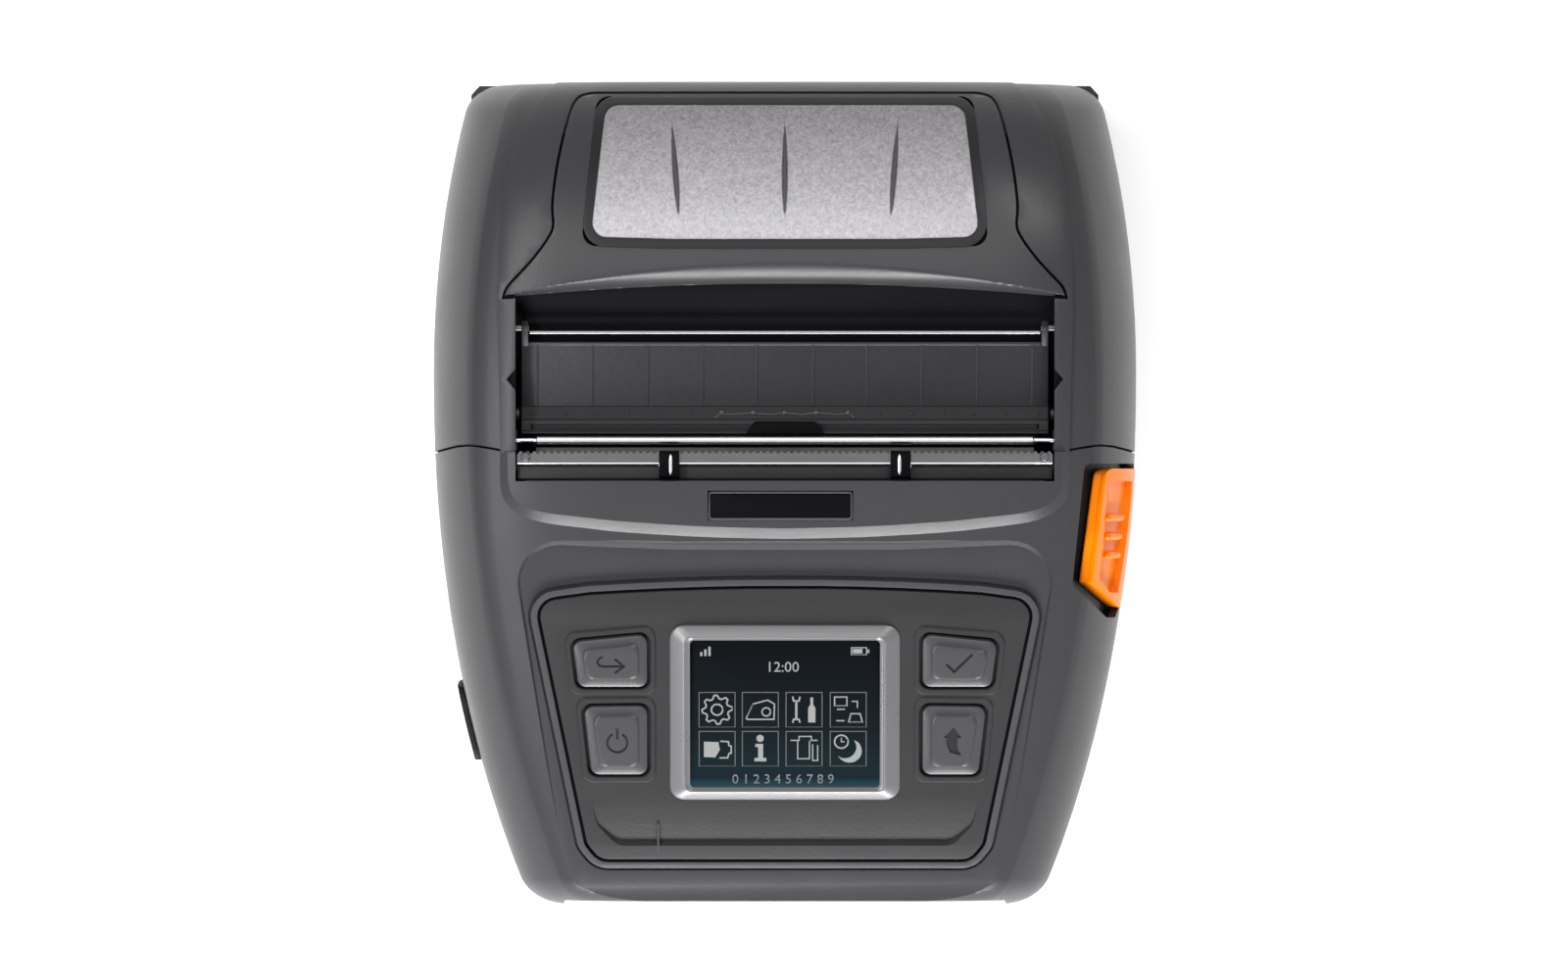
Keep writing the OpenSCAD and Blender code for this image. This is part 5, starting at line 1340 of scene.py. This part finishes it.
def tear_pieces():
    """The toothed strip with its folded foot, screws and clips, a black strip on the ledge below it that
    is painted shade, and the badge.
    """
    half, pitch = SLOT_HALF - 0.4, 1.5
    count = int(2 * half // pitch)
    teeth = [(half, 8.75)]
    for k in range(count, 0, -1):
        x = (k - count / 2) * pitch
        teeth += [(x - 0.02, 8.75), (x - 0.55, 9.45), (x - 0.95, 9.45)]
    strip = prism("tear_strip", [(-half, 7.0), (half, 7.0)] + teeth + [(-half, 8.75)], TEAR_Z,
                  TEAR_Z + TEAR_T)
    # Painted shade: the toothed strip gets the darkened steel
    fit(round_edges(strip, 0.1, 1), "casing", "steel", "steel", "tear_bar")
    # Painted highlight: the strip's folded foot is the same steel but gets bright chrome, for the
    # highlight along the fold
    fold = across("tear_fold_painted_highlight", -half, half,
                  [(6.55, POCKET_Z + 0.3), (7.15, POCKET_Z + 0.3), (7.15, TEAR_Z + 0.35),
                   (7.05, TEAR_Z + 0.62), (6.8, TEAR_Z + 0.7), (6.6, TEAR_Z + 0.62),
                   (6.55, TEAR_Z + 0.4)])
    fit(round_edges(fold, 0.12, 2), "casing", "chrome", "steel", angle=50)
    # Painted shade: a thin black strip laid over the casing's ledge below the tear bar
    ledge = across("tear_ledge_painted_shade", -half, half,
                   [(3.2, 67.65), (6.35, 67.65), (6.35, 68.3), (6.1, 68.5), (3.5, 68.5), (3.2, 68.2)])
    fit(round_edges(ledge, 0.15, 2), "casing", "black", "black_plastic")
    head = loft("screw",
                [[(56.7 + r * math.cos(a), 8.3 + r * math.sin(a), TEAR_Z + h) for a in full_turn(20)]
                 for r, h in ((0.7, 0.2), (0.7, 0.7), (1.05, 0.72), (1.05, 1.1), (0.8, 1.38))])
    carve(head, block("cutter", (55.2, 8.1, TEAR_Z + 1.15), (58.2, 8.5, TEAR_Z + 2)))
    fit(pair("tear_screw_heads", head), "casing", "steel", "steel", "tear_bar_screws")
    clip = across("clip_body", 23.1, 27.5,
                  [(3.35, 67.7), (3.35, 70.2), (4.0, 71.0), (8.9, 71.0), (9.6, 70.3), (9.6, 69.95),
                   (7.4, 69.95), (7.4, 67.7)])
    fit(pair("tear_clips", round_edges(clip, 0.45, 3)), "casing", "plate", "black_plastic",
        "tear_bar_clips")
    # Painted highlight: a bright chrome ridge and hook on each black clip stand in for the highlights on
    # its plastic
    path = [(25.0, 4.2 + 4.6 * k / 10, 70.95) for k in range(11)]
    ridge = tube("clip_highlight_ridge", path, thinned(0.12, 0.33, 6), 12)
    hook = tube("clip_highlight_hook",
                [(27.5 - 0.1 * k, 6.6 - 0.22 * k - 0.02 * k * k, 70.2 - 0.03 * k) for k in range(7)],
                lambda t: 0.22 + 0.26 * t * (1.9 - t), 12)
    fit(pair("clip_ridges", join("clip_ridges", [ridge, hook])), "casing", "chrome", "steel", angle=60)
    outline = badge_outline(15.75, 3.1, 0.6)
    badge = prism("badge_blank", outline, BADGE_Z - 0.8, BADGE_Z + 0.12)
    fit(round_edges(badge, 0.18, 2), "casing", "plate", "black_plastic", "badge_plate")
    ring = prism("badge_rim", outline, BADGE_Z - 0.3, BADGE_Z + 0.2)
    carve(ring, prism("cutter", badge_outline(15.35, 2.7, 0.5), 60, 80))
    fit(round_edges(ring, 0.06, 1), "casing", "button", "black_plastic")


# The release key, the port cover and the pieces behind

def skin_z(x, y, deep):
    """Height of the casing's face, over the ridge and down the flank."""
    high = ridge_z(y, deep)
    if x < flank_x(y, high, deep):
        return top_z(x, y, deep)
    low = 40.0
    for _ in range(24):
        middle = (low + high) / 2
        low, high = (middle, high) if flank_x(y, middle, deep) > x else (low, middle)
    return low


def key_side(y):
    """The left edge of the key: slanted, rounded at its top and chamfered at its foot."""
    x = 67.8 - 3.2 * (5.7 - y) / 24.6
    if y > 4.1:
        x += 1.6 - math.sqrt(max(0.0, 1.6 ** 2 - min(1.6, y - 4.1) ** 2))
    return max(x, 64.6 - 1.2 * (19.3 + y))


# How deep the faces and insides of the key, its grip and its skirt lie under the construction model's
KEY_DEEP, KEY_INSIDE, GRIP_DEEP, SKIRT_DEEP, SKIRT_INSIDE = 0.85, 4.0, 2.3, 4.1, 5.2
KEY_ROWS = [8, 5.9, 5.7, 5.5, 5.2, 4.7, 4.1, 3.0]
KEY_ROWS += [1.0 - 2.0 * k for k in range(10)] + [-19.3 - k for k in range(14)]
RIB_FOOT = 45.2


def flank_core(deep):
    """What lies deeper than the key's own stretch of the casing's face."""
    return form("cutter", SPLIT_Y - 50, SPLIT_Y + 8, deep, 20)


def key_pieces():
    """The orange key: a rim round a sunk grip with three ribs, and a skirt behind that is painted near
    black as the shade in the gap round the key.

    Its left edge is sunk so that it slides under the casing."""
    key = form("key_cap", SPLIT_Y - 40, SPLIT_Y + 2, KEY_DEEP, 30)
    keep_within(key, across("cutter", 60, 90, rounded(KEY_OUTLINE, 1.4)))
    carve(key, flank_core(KEY_INSIDE))
    edge = []
    for y in KEY_ROWS:
        x = key_side(y)
        z = skin_z(x + 1.8, y, 1.0)
        edge.append([(x, y, 20), (x, y, z - 3.3), (x + 0.3, y, z - 3.0), (x + 1.7, y, z - 2.9),
                     (x + 2.2, y, z - 2.2), (x + 2.9, y, z - 0.8), (x + 3.6, y, z + 0.1),
                     (x + 4.4, y, z + 3), (x + 4.4, y, CLEAR), (50, y, CLEAR), (50, y, 20)])
    carve(key, loft("cutter", edge))
    grip = prism("cutter", rounded([(70.9, 2.9), (69.0, -18.6), (71.6, -21.6), (90, -21.6), (90, 2.9)],
                                   1.0), 44.5, 90)
    carve(grip, flank_core(GRIP_DEEP))
    carve(key, grip)
    round_edges(key, 0.3, 3)
    fit(key, "key", "key", "key_orange", "release_key")
    ribs = []
    for y in (-5.1, -9.2, -13.3):
        path = [(x, y, skin_z(x, y, 1.75)) for x in (70.4 + 0.3 * k for k in range(12))]
        path += [(flank_x(y, z, 1.75), y, z) for z in (path[-1][2] - 1.5 * k for k in range(1, 9))
                 if z > RIB_FOOT]
        ribs.append(tube("rib", path, thinned(0.2, 0.6, 8), 12))
        ribs.append(tube("bead",
                         [(70.4 + 0.16 * k, y, skin_z(70.4 + 0.16 * k, y, 1.3)) for k in range(8)],
                         lambda t: 0.1 + 0.75 * math.sqrt(max(0.0, 1 - (2 * t - 1) ** 2)), 14))
    rail = [(70.6 + (y - 2.0) * 0.088, y) for y in (2.0 - 1.0 * k for k in range(21))]
    ribs.append(tube("rail", [(x, y, skin_z(x, y, 1.9)) for x, y in rail],
                     thinned(0.1, 0.4, 8), 12))
    fit(join("key_ribs", ribs), "key", "key", "key_orange", angle=60)
    # Painted shade: the skirt seen through the gap round the key is near black for the shade in that gap
    skirt = form("key_skirt_painted_shade", SPLIT_Y - 44, SPLIT_Y + 2, SKIRT_DEEP, 30)
    keep_within(skirt, across("cutter", 62.6, 90, rounded(grown(KEY_OUTLINE, 2.2), 1.4)))
    carve(skirt, flank_core(SKIRT_INSIDE))
    fit(skirt, "key", "seal", "black_plastic")
    return_spring()


def return_spring():
    """The tapered spring behind the key; its turns nest as the key goes in."""
    low, high = (Vector(corner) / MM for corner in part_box("key_spring"))
    middle, wire, turns, steps = (low + high) / 2, 0.22, 3.5, 24
    start, end = low.x - 0.5, high.x - 0.05
    outer = (high.z - low.z) / 2 - wire
    rings = []
    for k in range(int(turns * steps) + 1):
        angle, share = 2 * math.pi * k / steps, k / (turns * steps)
        out = Vector((0, math.cos(angle), math.sin(angle)))
        centre = Vector((start + wire + (end - start - 2 * wire) * share, middle.y, middle.z))
        centre += out * outer * (1 - 0.55 * share)
        rings.append([centre + out * wire * math.cos(a) + Vector((wire * math.sin(a), 0, 0))
                      for a in full_turn(8)])
    coil = fit(loft("key_coil", rings), "casing", "steel", "steel", "key_spring", angle=60)
    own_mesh(coil)


def port_pieces():
    """The rubber flap over the sockets: a lid that hugs the flank, and the rolled edge it bends on."""
    lid = form("port_lid", PORT_Y - 12, PORT_Y + 10, -0.35, 5)
    outline = [(PORT_Y - 8.4, PORT_Z - 8.5), (PORT_Y + 8.3, PORT_Z - 9.5), (PORT_Y + 8.3, PORT_Z + 10),
               (PORT_Y - 8.4, PORT_Z + 9)]
    keep_within(lid, across("cutter", -90, -58, rounded(outline, 3)))
    carve(lid, form("cutter", PORT_Y - 16, PORT_Y + 14, 0.9, 2))
    fit(round_edges(lid, 0.55, 3), "port_flap", "rubber", "rubber", "port_cover", angle=50)
    hinge_y = PORT_Y + 8.4
    hinge_x = -half_w(hinge_y) + 0.55
    path = [(hinge_x + 0.02 * (k - 5) ** 2, hinge_y, PORT_Z - 9.3 + 1.95 * k) for k in range(11)]
    roll = tube("port_roll", path, thinned(0.5, 0.42, 6), 16)
    fit(roll, "port_flap", "rubber", "rubber", angle=60)


def soften(node, name, body, finish, slot, width, steps=2):
    """A construction node with rounded edges."""
    fit(round_edges(node_copy(node, name), width, steps), body, finish, slot, node, angle=40)


def outer_pieces():
    port_pieces()
    soften("strap_lugs", "strap_loops", "casing", "black", "black_plastic", 0.9, 3)
    soften("belt_clip", "belt_clip_rounded", "belt_clip", "black", "black_plastic", 0.4)
    soften("battery_pack", "battery_rounded", "casing", "black", "black_plastic", 0.7, 3)
    soften("battery_latch", "latch_slider", "battery_latch", "panel", "black_plastic", 0.3)
    soften("rubber_feet", "feet_rounded", "casing", "rubber", "rubber", 0.3)


NODE_FINISHES = {
    "inside": ["cover_liner", "sensor_bar", "media_tray"],
    "black": ["guide_left", "guide_right"],
    "rubber": ["platen_roller", "peel_roller"],
    "steel": ["peeler_pins", "platen_shaft", "platen_bushes", "hinge_pins", "latch_shaft", "idler_pin",
              "clip_pin", "strap_bars", "shell_screws", "port_block"],
    "dark_steel": ["head_springs", "drive_motor", "mech_frame", "lcd_module"],
    "aluminium": ["head_heatsink"],
    "ceramic": ["printhead"],
    "gear": ["platen_gear", "idler_gear", "motor_pinion", "guide_pinion"],
    "board": ["main_board", "keypad_board"],
    "contact": ["battery_contacts"],
}


def finish_nodes():
    for finish, nodes in NODE_FINISHES.items():
        for name in nodes:
            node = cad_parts[name]
            node.data.materials.clear()
            node.data.materials.append(FINISHES[finish])


cover_pieces()
window_pieces()
front_pieces()
rear_pieces()
panel_pieces()
bezel_piece()
screen_pieces()
button_pieces()
recess_pieces()
tear_pieces()
key_pieces()
outer_pieces()
finish_nodes()
